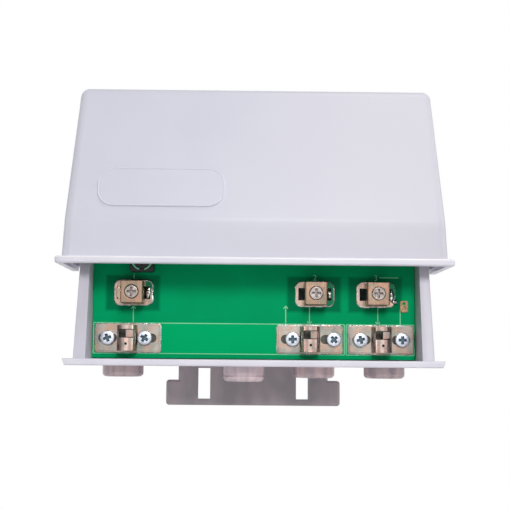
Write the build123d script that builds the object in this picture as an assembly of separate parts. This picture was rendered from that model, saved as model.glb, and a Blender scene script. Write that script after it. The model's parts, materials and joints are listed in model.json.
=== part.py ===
from build123d import *
import math
import os

# Mast-head television amplifier with its hood raised over the terminals.
# Millimetres. X runs to the right, Y from the front towards the mast, Z up.
# The origin is the centre of the bracket's rear face, which lies against the mast.

# Sheet and moulding sizes that several pieces share
slack = 0.3
overrun = 5.0
sheet = 0.8

# Mast bracket
bracket_thickness = 3.0
bracket_height = 101.0
bracket_waist_width = 59.2
bracket_ear_reach = 4.8
bracket_ear_height = 9.9
bracket_foot = 15.6
bracket_corner = 1.2
strap_slot_width = 4.8
strap_slot_height = 12.1
strap_slot_spacing = 38.8
strap_slot_drop = 1.0
bracket_bevel = 0.8

# Base housing
flange_side_reach = 3.7
flange_thickness = 2.5
flange_end_slant = 1.0
flange_edge_round = 0.6
housing_depth = 36.0
wall_height = 60.0
wall_thickness = 2.0
bay_width = 123.0
back_thickness = 2.3
rail_setback = 2.0
rail_depth = 2.2
rail_width = 4.5
rail_taper = 1.3
rail_round = 0.5
groove_width = 3.6
groove_rib_width = 1.6
groove_rib_rise = 1.5
groove_from_back = 6.8

# Hood
hood_raise = 35.5
hood_height = 68.9
hood_side_room = 5.2
hood_side_taper = 3.9
hood_wall = 2.0
hood_overhang = 0.8
hood_crease_height = 16.6
hood_lean = 13.5
hood_round = 3.5
hood_crease_round = 9.0
hood_back_gap = 0.5
lip_side_reach = 1.8
lip_height = 2.6
lip_overhang = 3.0
lip_recess = 1.3
lip_corner = 2.2
lip_round = 0.7
guide_play = 0.3
guide_reach_gap = 0.5
plaque_width = 47.0
plaque_height = 15.4
plaque_corner = 6.2
plaque_rise = 0.5
plaque_side_inset = 36.2
plaque_level = 28.7

# Circuit board
board_setback = 18.0
board_thickness = 1.6
board_side_gap = 0.2
board_height = 57.5

# Cable glands
gland_setback = 13.7
gland_pitch = 26.3
gland_wall_room = 12.6
gland_diameter = 15.3
gland_drop = 4.1
gland_bore = 6.6
gland_neck_diameter = 11.6
gland_collar_diameter = 13.4
gland_collar_height = 0.9
gland_round = 1.5
gland_play = 0.1
plug_drop = 5.6
plug_bead_height = 1.7
plug_groove = 0.3

# Braid clamps
clamp_level = 2.4
clamp_shifts = (1.0, -1.4, -0.6)
ground_plate_width = 24.9
ground_plate_height = 10.8
strap_border = 0.6
arch_width = 7.2
arch_window_width = 5.4
arch_window_height = 3.3
arch_window_from_top = 1.5
tongue_thickness = 0.5
tongue_turn = 24.0
dimple_diameter = 1.0
dimple_level = 2.6
slot_spacing = 15.0
slot_length = 7.0
slot_width = 3.4
strap_screw_offsets = ((-7.4, 6.6), (-6.6, 9.0), (-8.0, 7.8))
strap_screw_diameter = 3.0
strap_screw_length = 8.0
strap_screw_head = 5.7
strap_screw_head_height = 2.0
strap_screw_head_round = 1.0
recess_width = 0.8
recess_length = 3.2
recess_depth = 1.1

# Centre-conductor terminals
terminal_shifts = (1.9, 1.9, -1.8)
terminal_level = 25.0
terminal_frame_width = 14.4
terminal_frame_height = 9.2
terminal_frame_corner = 2.2
terminal_slot_width = 2.2
terminal_slot_height = 4.7
terminal_slot_margin = 0.9
cage_width = 8.4
cage_rise = 7.7
cage_side_wall = 0.9
cage_front_wall = 1.2
cage_round = 0.6
terminal_screw_diameter = 5.0
terminal_screw_play = 0.06
terminal_screw_proud = 0.4
terminal_screw_tip = 3.2
terminal_screw_reach = 1.2

# Gain trimmer
trimmer_side_inset = 18.8
trimmer_level = 37.3
trimmer_width = 9.0
trimmer_rise = 4.6
trimmer_corner = 0.8
rotor_diameter = 6.2
rotor_thickness = 1.2
rotor_play = 0.1
rotor_proud = 0.3
rotor_slot_width = 0.9
rotor_slot_length = 4.4
rotor_slot_depth = 0.7
rotor_pin_diameter = 2.0
rotor_pin_length = 2.4

# Board screws and bracket screws
board_screw_diameter = 2.2
board_screw_length = 8.0
board_screw_head = 4.6
board_screw_head_height = 1.6
board_screw_inset = 5.5
board_post_diameter = 6.4
thread_play = 0.05
bracket_screw_diameter = 3.0
bracket_screw_length = 10.0
bracket_screw_head = 6.0
bracket_screw_head_height = 1.7
bracket_screw_spacing_x = 44.0
bracket_screw_spacing_z = 36.0
bracket_boss_diameter = 7.0
bracket_boss_length = 9.5

# Screening can, transistors, regulator and the other board parts
can_side_room = 42.5
can_height = 15.0
can_rise = 4.8
can_level = 46.0
can_x = 2.0
can_hole_diameter = 1.6
can_hole_count = 5
can_round = 0.5
transistor_width = 2.9
transistor_height = 1.4
transistor_rise = 1.1
transistor_leg = 0.5
transistor_leg_reach = 0.6
transistor_leg_thickness = 0.3
transistor_x_shares = (-0.41, -0.29, 0.44)
transistor_level_shares = (0.86, 0.81, 0.72)
regulator_side_inset = 16.5
regulator_level = 47.5
regulator_width = 6.5
regulator_height = 6.1
regulator_rise = 2.3
regulator_tab = 1.2
capacitor_side_inset = 27.0
capacitor_level = 42.5
capacitor_diameter = 6.3
capacitor_rise = 7.7
capacitor_foot_width = 6.6
capacitor_foot_rise = 0.9
capacitor_round = 0.5
choke_side_inset = 34.0
choke_level = 41.5
choke_diameter = 7.0
choke_rise = 5.6
choke_flange_rise = 1.0
choke_core_diameter = 5.4
splitter_side_inset = 14.5
splitter_level = 39.5
splitter_width = 6.8
splitter_height = 4.6
splitter_rise = 4.2
splitter_hole_diameter = 1.5
chip_width = 2.0
chip_height = 1.25
chip_rise = 0.6
chip_cap_share = 0.22
chip_x_shares = (-0.36, -0.31, -0.26, -0.21, -0.14, -0.09, 0.19, 0.24, 0.29, 0.42)
chip_level_shares = (0.93, 0.84, 0.93, 0.86, 0.64, 0.965, 0.94, 0.87, 0.95, 0.95)
link_side_inset = 4.3
link_level = 20.6
link_width = 3.0
link_height = 4.4
link_rise = 0.5
link_hole_diameter = 1.1

# Planes that the pieces share
back_y = -bracket_thickness
front_y = back_y - housing_depth
back_plate_y = back_y - back_thickness
flange_bottom_z = -bracket_height / 2 + bracket_foot
flange_top_z = flange_bottom_z + flange_thickness
wall_top_z = flange_top_z + wall_height
bracket_ear_width = bracket_waist_width + 2 * bracket_ear_reach
bay_half = bay_width / 2
wall_outer = bay_half + wall_thickness
rail_outer_foot = bay_half + rail_width
rail_outer_head = rail_outer_foot - rail_taper
flange_width = 2 * (rail_outer_foot + flange_side_reach)
hood_foot_width = 2 * (rail_outer_foot + hood_side_room)
hood_head_width = hood_foot_width - 2 * hood_side_taper
lip_width = hood_foot_width + 2 * lip_side_reach
plaque_x = plaque_side_inset - hood_foot_width / 2
board_front_y = front_y + board_setback
board_back_y = board_front_y + board_thickness
board_foot_z = flange_top_z + slack
board_top_z = flange_top_z + board_height
board_half = bay_half - board_side_gap
gland_y = front_y + gland_setback
right_cable_x = bay_half - gland_wall_room
cable_xs = (-right_cable_x, right_cable_x - gland_pitch, right_cable_x)
plug_x = right_cable_x - 2 * gland_pitch
clamp_xs = tuple(x + shift for x, shift in zip(cable_xs, clamp_shifts))
terminal_xs = tuple(x + shift for x, shift in zip(clamp_xs, terminal_shifts))
plate_front_y = board_front_y - sheet
strap_front_y = plate_front_y - sheet
clamp_foot_z = flange_top_z + clamp_level
clamp_middle_z = clamp_foot_z + ground_plate_height / 2
terminal_z = flange_top_z + terminal_level
cage_front_y = plate_front_y - cage_rise
hood_foot_z = flange_top_z + slack - lip_recess + hood_raise
hood_top_z = hood_foot_z + hood_height
hood_back_y = back_y - hood_back_gap
hood_front_y = front_y - hood_overhang
groove_back_y = back_y - groove_from_back + groove_width / 2
groove_front_y = groove_back_y - groove_width
can_width = bay_width - 2 * can_side_room
trimmer_x = trimmer_side_inset - bay_half
choke_x = choke_side_inset - bay_half
capacitor_x = bay_half - capacitor_side_inset
regulator_x = bay_half - regulator_side_inset
splitter_x = bay_half - splitter_side_inset
link_x = bay_half - link_side_inset


def block(x_low, x_high, y_low, y_high, z_low, z_high):
    """A box between two corners."""
    middle = Pos((x_low + x_high) / 2, (y_low + y_high) / 2, (z_low + z_high) / 2)
    return middle * Box(x_high - x_low, y_high - y_low, z_high - z_low)


def bar(x, z, width, height, y_low, y_high):
    """A box centred on a place in the front view."""
    return block(x - width / 2, x + width / 2, y_low, y_high, z - height / 2, z + height / 2)


def rod_y(diameter, x, z, y_low, y_high):
    """A round bar that runs from front to back."""
    return Pos(x, (y_low + y_high) / 2, z) * Rot(90, 0, 0) * Cylinder(diameter / 2, y_high - y_low)


def rod_z(diameter, x, y, z_low, z_high):
    """A round bar that stands upright."""
    return Pos(x, y, (z_low + z_high) / 2) * Cylinder(diameter / 2, z_high - z_low)


def rounded_bar(x, z, width, height, corner, y_low, y_high):
    """A bar whose outline in the front view has round corners."""
    solid = bar(x, z, width, height, y_low, y_high)
    return fillet(solid.edges().filter_by(Axis.Y), corner)


def slot_bar(x, z, length, width, y_low, y_high):
    """A cutter for a slot that lies across the object, with round ends."""
    run = (length - width) / 2
    ends = rod_y(width, x - run, z, y_low, y_high) + rod_y(width, x + run, z, y_low, y_high)
    return bar(x, z, 2 * run, width, y_low, y_high) + ends


def side_prism(points, x_low, x_high):
    """A side-view outline of (Y, Z) points, carried across from one X to another."""
    outline = make_face(Polyline(points, close=True))
    return Pos(x_low, 0, 0) * extrude(Plane.YZ * outline, x_high - x_low)


def front_prism(points, y_low, y_high):
    """A front-view outline of (X, Z) points, carried back from one Y to another."""
    outline = make_face(Polyline(points, close=True))
    return Pos(0, y_high, 0) * extrude(Plane.XZ * outline, y_high - y_low)


def mirrored(shape):
    """A shape and its copy on the other side of the middle plane."""
    return shape + mirror(shape, about=Plane.YZ)


def cross_recess(x, z, length, width, y_front, depth):
    """A cutter for the cross in a screw's head."""
    upright = bar(x, z, width, length, y_front - overrun, y_front + depth)
    level = bar(x, z, length, width, y_front - overrun, y_front + depth)
    return upright + level


def pan_screw(x, z, seat_y, head, head_height, head_round, diameter, length, cross):
    """A pan-head screw that points backwards, its head seated at seat_y."""
    front = seat_y - head_height
    cap = rod_y(head, x, z, front, seat_y)
    cap = chamfer(cap.edges().sort_by(Axis.Y)[0], head_round)
    screw = cap + rod_y(diameter, x, z, seat_y, seat_y + length)
    length_across, width, depth = cross
    return screw - cross_recess(x, z, length_across, width, front, depth)


# Base housing


def rail_line(height):
    """The Y of the rail's front edge at a height above the flange. It leans back under the hood."""
    hood_rise = wall_height + lip_recess - slack - hood_crease_height
    lean_rate = hood_lean / (hood_height - hood_crease_height)
    hood_inside = hood_front_y + hood_wall / math.cos(math.atan(lean_rate)) + hood_rise * lean_rate
    foot = front_y + rail_setback
    head = hood_inside + slack
    return foot + (head - foot) * height / wall_height


def make_flange():
    """The bottom flange, narrower at its lower face, with stepped holes for the glands."""
    half = flange_width / 2
    points = [(-half, flange_top_z), (half, flange_top_z)]
    points += [(half - flange_end_slant, flange_bottom_z), (flange_end_slant - half, flange_bottom_z)]
    flange = front_prism(points, front_y, back_y)
    front_edges = flange.edges().filter_by(Axis.X).group_by(Axis.Y)[0]
    flange = fillet(front_edges, flange_edge_round)
    neck, collar = gland_neck_diameter + 2 * gland_play, gland_collar_diameter + 2 * gland_play
    seat_z = flange_top_z - gland_collar_height
    for x in (*cable_xs, plug_x):
        flange -= rod_z(neck, x, gland_y, flange_bottom_z - overrun, wall_top_z)
        flange -= rod_z(collar, x, gland_y, seat_z, wall_top_z)
    return flange


def make_side_wall():
    """The right side wall: thin plate, wider front rail, and the two ribs of the hood's guide groove."""
    foot, head = rail_line(0), rail_line(wall_height)
    plate_points = [(foot, flange_top_z), (head, wall_top_z), (back_y, wall_top_z), (back_y, flange_top_z)]
    wall = side_prism(plate_points, bay_half, wall_outer)
    rail_points = [(foot, flange_top_z), (head, wall_top_z)]
    rail_points += [(head + rail_depth, wall_top_z), (foot + rail_depth, flange_top_z)]
    rail = side_prism(rail_points, bay_half, rail_outer_foot)
    taper = [(0, flange_top_z), (rail_outer_foot, flange_top_z)]
    taper += [(rail_outer_head, wall_top_z), (0, wall_top_z)]
    rail = rail & front_prism(taper, front_y, back_y)
    long_edges = rail.edges().filter_by(lambda edge: edge.length > wall_height)
    rail = fillet(long_edges.sort_by(Axis.Y)[:2], rail_round)
    wall += rail
    rib_outer = wall_outer + groove_rib_rise
    for y in (groove_front_y - groove_rib_width, groove_back_y):
        wall += block(bay_half, rib_outer, y, y + groove_rib_width, flange_top_z, wall_top_z)
    return wall


def board_screw_places():
    """Centres of the three screws along the board's upper edge."""
    side = board_half - board_screw_inset
    level = board_top_z - board_screw_inset
    return [(-side, level), (can_x - can_width / 2 - board_screw_inset, level), (side, level)]


def bracket_screw_places():
    """Centres of the four screws that hold the bracket."""
    half_x, half_z = bracket_screw_spacing_x / 2, bracket_screw_spacing_z / 2
    return [(x, z) for x in (-half_x, half_x) for z in (-half_z, half_z)]


def make_base_housing():
    """The tray: flange, back plate, side walls, board posts and bracket bosses."""
    housing = make_flange()
    housing += block(-wall_outer, wall_outer, back_plate_y, back_y, flange_top_z, wall_top_z)
    housing += mirrored(make_side_wall())
    foot_level = clamp_foot_z + ground_plate_height + board_post_diameter
    lower_posts = [(x, foot_level) for x in (-right_cable_x / 2, right_cable_x / 2)]
    for x, z in board_screw_places() + lower_posts:
        housing += rod_y(board_post_diameter, x, z, board_back_y, back_plate_y)
    for x, z in board_screw_places():
        pilot = board_screw_diameter + 2 * thread_play
        housing -= rod_y(pilot, x, z, board_back_y - overrun, board_back_y + board_screw_length)
    for x, z in bracket_screw_places():
        housing += rod_y(bracket_boss_diameter, x, z, back_y - bracket_boss_length, back_plate_y)
        pilot = bracket_screw_diameter + 2 * thread_play
        depth = bracket_screw_length - bracket_thickness + slack
        housing -= rod_y(pilot, x, z, back_y - depth, back_y + overrun)
    return housing


# Hood


def hood_half(height, inset):
    """Half the hood's width at a height above its foot, less a wall."""
    taper = (hood_foot_width - hood_head_width) / 2 / hood_height
    return hood_foot_width / 2 - taper * height - inset


def hood_form(inset, foot, head, back, corner):
    """The hood's solid outline: tapered sides and a front that leans back above the crease."""
    lean_rate = hood_lean / (hood_height - hood_crease_height)
    lean_inset = inset / math.cos(math.atan(lean_rate))
    crease = hood_crease_height - (lean_inset - inset) / lean_rate
    front = hood_front_y + inset
    head_front = front + (head - crease) * lean_rate
    side = [(back, foot), (front, foot), (front, crease), (head_front, head), (back, head)]
    form = side_prism(side, -hood_foot_width, hood_foot_width)
    low, high = hood_half(foot, inset), hood_half(head, inset)
    form = form & front_prism([(-low, foot), (low, foot), (high, head), (-high, head)], front, back)
    is_crease = lambda edge: abs(edge.center().Z - crease) < slack and abs(edge.center().X) < slack
    form = fillet(form.edges().filter_by(is_crease), hood_crease_round)
    middle = (foot + head) / 2
    upright = lambda edge: edge.center().Y < back - slack and abs(edge.center().X) > high / 2
    edges = [edge for edge in form.edges() if upright(edge) and edge.center().Z > foot + slack]
    across = form.edges().filter_by(Axis.X).filter_by(lambda edge: edge.center().Z > middle)
    edges += across.sort_by(Axis.Y)[:1]
    return fillet(edges, corner)


def make_lip():
    """The lip round the hood's foot, stepped inside to close over the flange."""
    half = lip_width / 2
    lip = block(-half, half, front_y - lip_overhang, hood_back_y, 0, lip_height)
    lip = fillet(lip.edges().filter_by(Axis.Z).group_by(Axis.Y)[0], lip_corner)
    rims = [edge for edge in lip.edges() if edge.center().Y < hood_back_y - slack]
    rims = [edge for edge in rims if abs(edge.tangent_at(0).Z) < slack]
    lip = fillet(rims, lip_round)
    step_half = flange_width / 2 + slack
    return lip - block(-step_half, step_half, front_y - slack, back_y, -overrun, lip_recess)


def make_plaque():
    """The raised name plaque, left bare, on the leaning face."""
    lean = math.degrees(math.atan(hood_lean / (hood_height - hood_crease_height)))
    lean_rate = math.tan(math.radians(lean))
    y = hood_front_y + (plaque_level - hood_crease_height) * lean_rate
    plate = Box(plaque_width, 2 * plaque_rise, plaque_height)
    plate = fillet(plate.edges().filter_by(Axis.Y), plaque_corner)
    plate = fillet(plate.faces().sort_by(Axis.Y)[0].edges(), plaque_rise / 2)
    return Pos(plaque_x, y, plaque_level) * Rot(-lean, 0, 0) * plate


def make_guide_rib():
    """The rib on the hood's right wall that runs in the housing's groove."""
    inner = wall_outer + guide_reach_gap
    top = hood_height - hood_wall
    y_low, y_high = groove_front_y + guide_play, groove_back_y - guide_play
    points = [(inner, lip_recess), (hood_half(0, hood_wall / 2), lip_recess)]
    points += [(hood_half(top, hood_wall / 2), top), (inner, top)]
    return front_prism(points, y_low, y_high)


def make_sliding_cover():
    """The hood, raised to where the terminals are open."""
    inner_head = hood_height - hood_wall
    hood = hood_form(0, 0, hood_height, hood_back_y, hood_round)
    hood += make_lip()
    hood -= hood_form(hood_wall, -overrun, inner_head, hood_back_y + overrun, hood_round - hood_wall)
    step_half = flange_width / 2 + slack
    hood -= block(-step_half, step_half, front_y - slack, back_y, -overrun, lip_recess)
    hood += mirrored(make_guide_rib())
    hood += make_plaque()
    return Pos(0, 0, hood_foot_z) * hood


# Mast bracket and its screws


def make_mast_bracket():
    """The slotted plate that straps to the mast, with wider ears above and below the housing."""
    half = bracket_height / 2
    plate = bar(0, 0, bracket_waist_width, bracket_height, back_y, 0)
    for side in (-1, 1):
        z = side * (half - bracket_ear_height / 2)
        plate += bar(0, z, bracket_ear_width, bracket_ear_height, back_y, 0)
    is_outer = lambda edge: abs(edge.center().X) > bracket_waist_width / 2
    plate = fillet(plate.edges().filter_by(Axis.Y).filter_by(is_outer), bracket_corner)
    plate = chamfer(plate.faces().sort_by(Axis.Y)[0].edges(), bracket_bevel)
    slot_top = flange_bottom_z - strap_slot_drop
    slot_z = slot_top - strap_slot_height / 2
    for x in (-strap_slot_spacing / 2, strap_slot_spacing / 2):
        for z in (-slot_z, slot_z):
            plate -= bar(x, z, strap_slot_width, strap_slot_height, back_y - overrun, overrun)
    for x, z in bracket_screw_places():
        plate -= rod_y(bracket_screw_diameter + 2 * slack, x, z, back_y - overrun, overrun)
        plate -= countersink(x, z, bracket_screw_head + slack, bracket_screw_diameter + 2 * slack)
    return plate


def countersink(x, z, wide, narrow):
    """A cone whose wide end is flush with the bracket's rear face."""
    cone = Cone(narrow / 2, wide / 2, bracket_screw_head_height)
    return Pos(x, -bracket_screw_head_height / 2, z) * Rot(-90, 0, 0) * cone


def make_bracket_screws():
    """Four countersunk screws, driven from behind into the housing's bosses."""
    screws = []
    for x, z in bracket_screw_places():
        head = countersink(x, z, bracket_screw_head, bracket_screw_diameter)
        shank = rod_y(bracket_screw_diameter, x, z, -bracket_screw_length, -bracket_screw_head_height / 2)
        cutter = mirror(cross_recess(x, z, recess_length, recess_width, 0, recess_depth), about=Plane.XZ)
        screws.append(head + shank - cutter)
    return Compound(screws)


# Cable glands


def gland_body(x, drop):
    """A stepped rubber body: wide below the flange, a neck through it, a collar in its upper step."""
    foot = flange_bottom_z - drop
    body = rod_z(gland_diameter, x, gland_y, foot, flange_bottom_z)
    body = chamfer(body.edges().sort_by(Axis.Z)[0], gland_round, gland_round / 2)
    body += rod_z(gland_neck_diameter, x, gland_y, flange_bottom_z, flange_top_z)
    seat_z = flange_top_z - gland_collar_height
    return body + rod_z(gland_collar_diameter, x, gland_y, seat_z, flange_top_z)


def make_cable_gland(x):
    """A gland with the bore for one coaxial cable."""
    bore = rod_z(gland_bore, x, gland_y, flange_bottom_z - gland_drop - overrun, wall_top_z)
    return gland_body(x, gland_drop) - bore


def make_blanking_plug():
    """The closed plug in the fourth hole, with a groove above its end bead."""
    plug = gland_body(plug_x, plug_drop)
    z = flange_bottom_z - plug_drop + plug_bead_height
    ring = rod_z(gland_diameter + overrun, plug_x, gland_y, z, z + plug_groove)
    return plug - (ring - rod_z(gland_diameter - 2 * plug_groove, plug_x, gland_y, z, z + plug_groove))


# Circuit board and what is fixed to it


def terminal_slot_places(x):
    """Centres across of the two slots beside a terminal's cage."""
    reach = terminal_frame_width / 2 - terminal_slot_margin - terminal_slot_width / 2
    return (x - reach, x + reach)


def cut_terminal_slots(sheet_piece, x):
    """A sheet with the two slots for the feet of the terminal at x."""
    for slot_x in terminal_slot_places(x):
        sheet_piece -= bar(slot_x, terminal_z, terminal_slot_width, terminal_slot_height, front_y, back_y)
    return sheet_piece


def make_circuit_board():
    """The board, with holes for its screws, the clamps' screws and the terminals' feet."""
    board = block(-board_half, board_half, board_front_y, board_back_y, board_foot_z, board_top_z)
    for x, z in board_screw_places():
        board -= rod_y(board_screw_diameter + 2 * slack, x, z, front_y, back_y)
    for clamp, offsets in zip(clamp_xs, strap_screw_offsets):
        for offset in offsets:
            board -= rod_y(slot_width, clamp + offset, clamp_middle_z, front_y, back_y)
    for x in terminal_xs:
        board = cut_terminal_slots(board, x)
    return board


def make_board_screws():
    """Three pan-head screws at the board's upper edge."""
    cross = (board_screw_head - 2 * recess_width, recess_width, board_screw_head_height / 2)
    screws = []
    for x, z in board_screw_places():
        head = (board_screw_head, board_screw_head_height, board_screw_head_height / 2)
        screws.append(pan_screw(x, z, board_front_y, *head, board_screw_diameter, board_screw_length, cross))
    return Compound(screws)


def make_ground_plate(clamp, offsets):
    """The plate under a braid clamp, soldered to the board's ground."""
    plate = rounded_bar(clamp, clamp_middle_z, ground_plate_width, ground_plate_height, sheet,
                        plate_front_y, board_front_y)
    for offset in offsets:
        plate -= rod_y(slot_width, clamp + offset, clamp_middle_z, front_y, back_y)
    return plate


def make_braid_strap(clamp):
    """The formed strap: flat wings, an arch over the cable, a window with a tongue, and a dimple."""
    width = ground_plate_width - 2 * strap_border
    height = ground_plate_height - 2 * strap_border
    low, high = clamp_middle_z - height / 2, clamp_middle_z + height / 2
    inner = arch_width / 2 - sheet
    centre_y = plate_front_y - inner
    wings = block(clamp - width / 2, clamp + width / 2, strap_front_y, plate_front_y, low, high)
    wings = fillet(wings.edges().filter_by(Axis.Y), sheet / 2)
    legs = block(clamp - arch_width / 2, clamp + arch_width / 2, centre_y, plate_front_y, low, high)
    strap = wings + legs + rod_z(arch_width, clamp, centre_y, low, high)
    on_wings = lambda edge: abs(edge.center().Y - strap_front_y) < slack / 2
    on_legs = lambda edge: abs(abs(edge.center().X - clamp) - arch_width / 2) < slack / 2
    folds = strap.edges().filter_by(Axis.Z).filter_by(on_wings).filter_by(on_legs)
    strap = fillet(folds, sheet / 2)
    strap -= rod_z(2 * inner, clamp, centre_y, low - overrun, high + overrun)
    strap -= block(clamp - inner, clamp + inner, centre_y, back_y, low - overrun, high + overrun)
    window_z = high - arch_window_from_top - arch_window_height / 2
    strap -= bar(clamp, window_z, arch_window_width, arch_window_height, front_y, centre_y)
    strap -= rod_y(dimple_diameter, clamp, low + dimple_level, front_y, centre_y)
    for side in (-1, 1):
        slot_x = clamp + side * slot_spacing / 2
        strap -= slot_bar(slot_x, clamp_middle_z, slot_length, slot_width, front_y, back_y)
    return strap + make_tongue(clamp, centre_y, window_z)


def make_tongue(clamp, centre_y, window_z):
    """The small tongue pressed inwards at the right edge of the window, which bites the braid."""
    reach = arch_window_width / 2
    edge_x = clamp + reach
    edge_y = centre_y - math.sqrt((arch_width / 2 - sheet / 2) ** 2 - reach ** 2)
    height = arch_window_height - 2 * slack
    plate = Box(reach + sheet, tongue_thickness, height)
    hinged = Pos(-(reach + sheet) / 2 + sheet / 2, 0, 0) * plate
    return Pos(edge_x, edge_y, window_z) * Rot(0, 0, tongue_turn) * hinged


def make_strap_screws(clamp, offsets):
    """The two pan-head screws of one clamp."""
    head = (strap_screw_head, strap_screw_head_height, strap_screw_head_round)
    cross = (recess_length, recess_width, recess_depth)
    seat = strap_front_y
    screws = []
    for offset in offsets:
        screws.append(pan_screw(clamp + offset, clamp_middle_z, seat, *head,
                                strap_screw_diameter, strap_screw_length, cross))
    return Compound(screws)


def make_terminal_frame(x):
    """The sheet frame of a terminal, soldered flat to the board, with a slot at each end."""
    frame = rounded_bar(x, terminal_z, terminal_frame_width, terminal_frame_height, terminal_frame_corner,
                        plate_front_y, board_front_y)
    return cut_terminal_slots(frame, x)


def make_terminal_cage(x):
    """The folded cage that the inner conductor enters from below."""
    cage = bar(x, terminal_z, cage_width, cage_width, cage_front_y, plate_front_y)
    front_edges = cage.faces().sort_by(Axis.Y)[0].edges().filter_by(Axis.Z)
    cage = fillet(front_edges, cage_round)
    half = cage_width / 2 - cage_side_wall
    y_low, y_high = cage_front_y + cage_front_wall, plate_front_y - cage_side_wall
    cage -= block(x - half, x + half, y_low, y_high, terminal_z - cage_width, terminal_z + cage_width)
    hole = terminal_screw_diameter + 2 * terminal_screw_play
    return cage - rod_y(hole, x, terminal_z, front_y, y_low + slack)


def make_terminal_screw(x):
    """A clamping screw: a thick head in the cage's front wall and a narrower tip inside."""
    front = cage_front_y - terminal_screw_proud
    back = cage_front_y + cage_front_wall + terminal_screw_reach
    head = rod_y(terminal_screw_diameter, x, terminal_z, front, cage_front_y + cage_front_wall)
    head = chamfer(head.edges().sort_by(Axis.Y)[0], terminal_screw_proud / 2)
    screw = head + rod_y(terminal_screw_tip, x, terminal_z, cage_front_y, back)
    length = terminal_screw_diameter - 2 * recess_width
    return screw - cross_recess(x, terminal_z, length, recess_width, front, recess_depth)


def make_trimmer_body():
    """The gain trimmer's square body, with a round well for its rotor."""
    z = flange_top_z + trimmer_level
    front = board_front_y - trimmer_rise
    body = rounded_bar(trimmer_x, z, trimmer_width, trimmer_width, trimmer_corner, front, board_front_y)
    body -= rod_y(rotor_diameter + 2 * rotor_play, trimmer_x, z, front - overrun, front + rotor_thickness)
    pin = rotor_pin_diameter + 2 * thread_play
    return body - rod_y(pin, trimmer_x, z, front, front + rotor_thickness + rotor_pin_length + slack)


def make_trimmer_rotor():
    """The turning rotor, with a screwdriver slot and a pointer notch at its rim."""
    z = flange_top_z + trimmer_level
    well = board_front_y - trimmer_rise + rotor_thickness
    front = well - rotor_thickness - rotor_proud
    rotor = rod_y(rotor_diameter, trimmer_x, z, front, well)
    rotor += rod_y(rotor_pin_diameter, trimmer_x, z, well, well + rotor_pin_length)
    rotor -= bar(trimmer_x, z, rotor_slot_width, rotor_slot_length, front - overrun, front + rotor_slot_depth)
    notch_z = z + rotor_diameter / 2
    notch_back = front + rotor_slot_depth
    return rotor - bar(trimmer_x, notch_z, rotor_slot_width, rotor_slot_width, front - overrun, notch_back)


def make_screening_can():
    """The tinned can over the amplifier stage, with vent holes in a row and four feet."""
    z = flange_top_z + can_level
    front = board_front_y - can_rise
    can = bar(can_x, z, can_width, can_height, front, board_front_y)
    can = chamfer(can.faces().sort_by(Axis.Y)[0].edges(), can_round)
    can -= bar(can_x, z, can_width - sheet, can_height - sheet, front + sheet / 2, board_front_y + overrun)
    pitch = can_width / (can_hole_count + 1)
    for n in range(can_hole_count):
        x = can_x - can_width / 2 + pitch * (n + 1)
        can -= rod_y(can_hole_diameter, x, z, front - overrun, board_front_y - sheet)
    return can


def board_place(x_share, level_share):
    """A place on the board, from shares of its width and of its height."""
    return x_share * 2 * board_half, flange_top_z + level_share * board_height


def make_transistors():
    """Three-legged transistors beside the can."""
    pieces = []
    for place in zip(transistor_x_shares, transistor_level_shares):
        x, z = board_place(*place)
        front = board_front_y - transistor_rise
        body = bar(x, z, transistor_width, transistor_height, front, board_front_y)
        reach = transistor_height / 2 + transistor_leg_reach
        foot_y = board_front_y - transistor_leg_thickness
        for side in (-1, 1):
            low, high = sorted((z, z - reach))
            leg_x = x + side * (transistor_width - transistor_leg) / 2
            half = transistor_leg / 2
            body += block(leg_x - half, leg_x + half, foot_y, board_front_y, low, high)
        body += block(x - transistor_leg / 2, x + transistor_leg / 2, foot_y, board_front_y, z, z + reach)
        pieces.append(body)
    return Compound(pieces)


def make_regulator():
    """The supply regulator with its soldered tab."""
    z = flange_top_z + regulator_level
    front = board_front_y - regulator_rise
    body = bar(regulator_x, z, regulator_width, regulator_height, front, board_front_y)
    body = chamfer(body.faces().sort_by(Axis.Y)[0].edges(), slack)
    top = z + regulator_height / 2
    half = regulator_width / 2 - regulator_tab / 2
    foot_y = board_front_y - transistor_leg
    return body + block(regulator_x - half, regulator_x + half, foot_y, board_front_y, z, top + regulator_tab)


def make_capacitor():
    """The electrolytic capacitor, standing on its square foot, with its cross-shaped vent."""
    z = flange_top_z + capacitor_level
    front = board_front_y - capacitor_rise
    can = rod_y(capacitor_diameter, capacitor_x, z, front, board_front_y)
    can = chamfer(can.edges().sort_by(Axis.Y)[0], capacitor_round)
    foot_y = board_front_y - capacitor_foot_rise
    can += bar(capacitor_x, z, capacitor_foot_width, capacitor_foot_width, foot_y, board_front_y)
    return can - cross_recess(capacitor_x, z, capacitor_diameter / 2, slack, front, slack / 2)


def make_choke():
    """The supply choke: a drum with a winding between two flanges."""
    z = flange_top_z + choke_level
    front = board_front_y - choke_rise
    drum = rod_y(choke_diameter, choke_x, z, front, front + choke_flange_rise)
    drum += rod_y(choke_diameter, choke_x, z, board_front_y - choke_flange_rise, board_front_y)
    return drum + rod_y(choke_core_diameter, choke_x, z, front, board_front_y)


def make_splitter():
    """The two-hole ferrite core that splits the signal between the outputs."""
    z = flange_top_z + splitter_level
    front = board_front_y - splitter_rise
    core = bar(splitter_x, z, splitter_width, splitter_height, front, board_front_y)
    core = fillet(core.edges().filter_by(Axis.Z), splitter_hole_diameter / 2)
    for side in (-1, 1):
        x = splitter_x + side * splitter_width / 4
        y = board_front_y - splitter_rise / 2
        core -= rod_z(splitter_hole_diameter, x, y, z - splitter_height, z + splitter_height)
    return core


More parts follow.
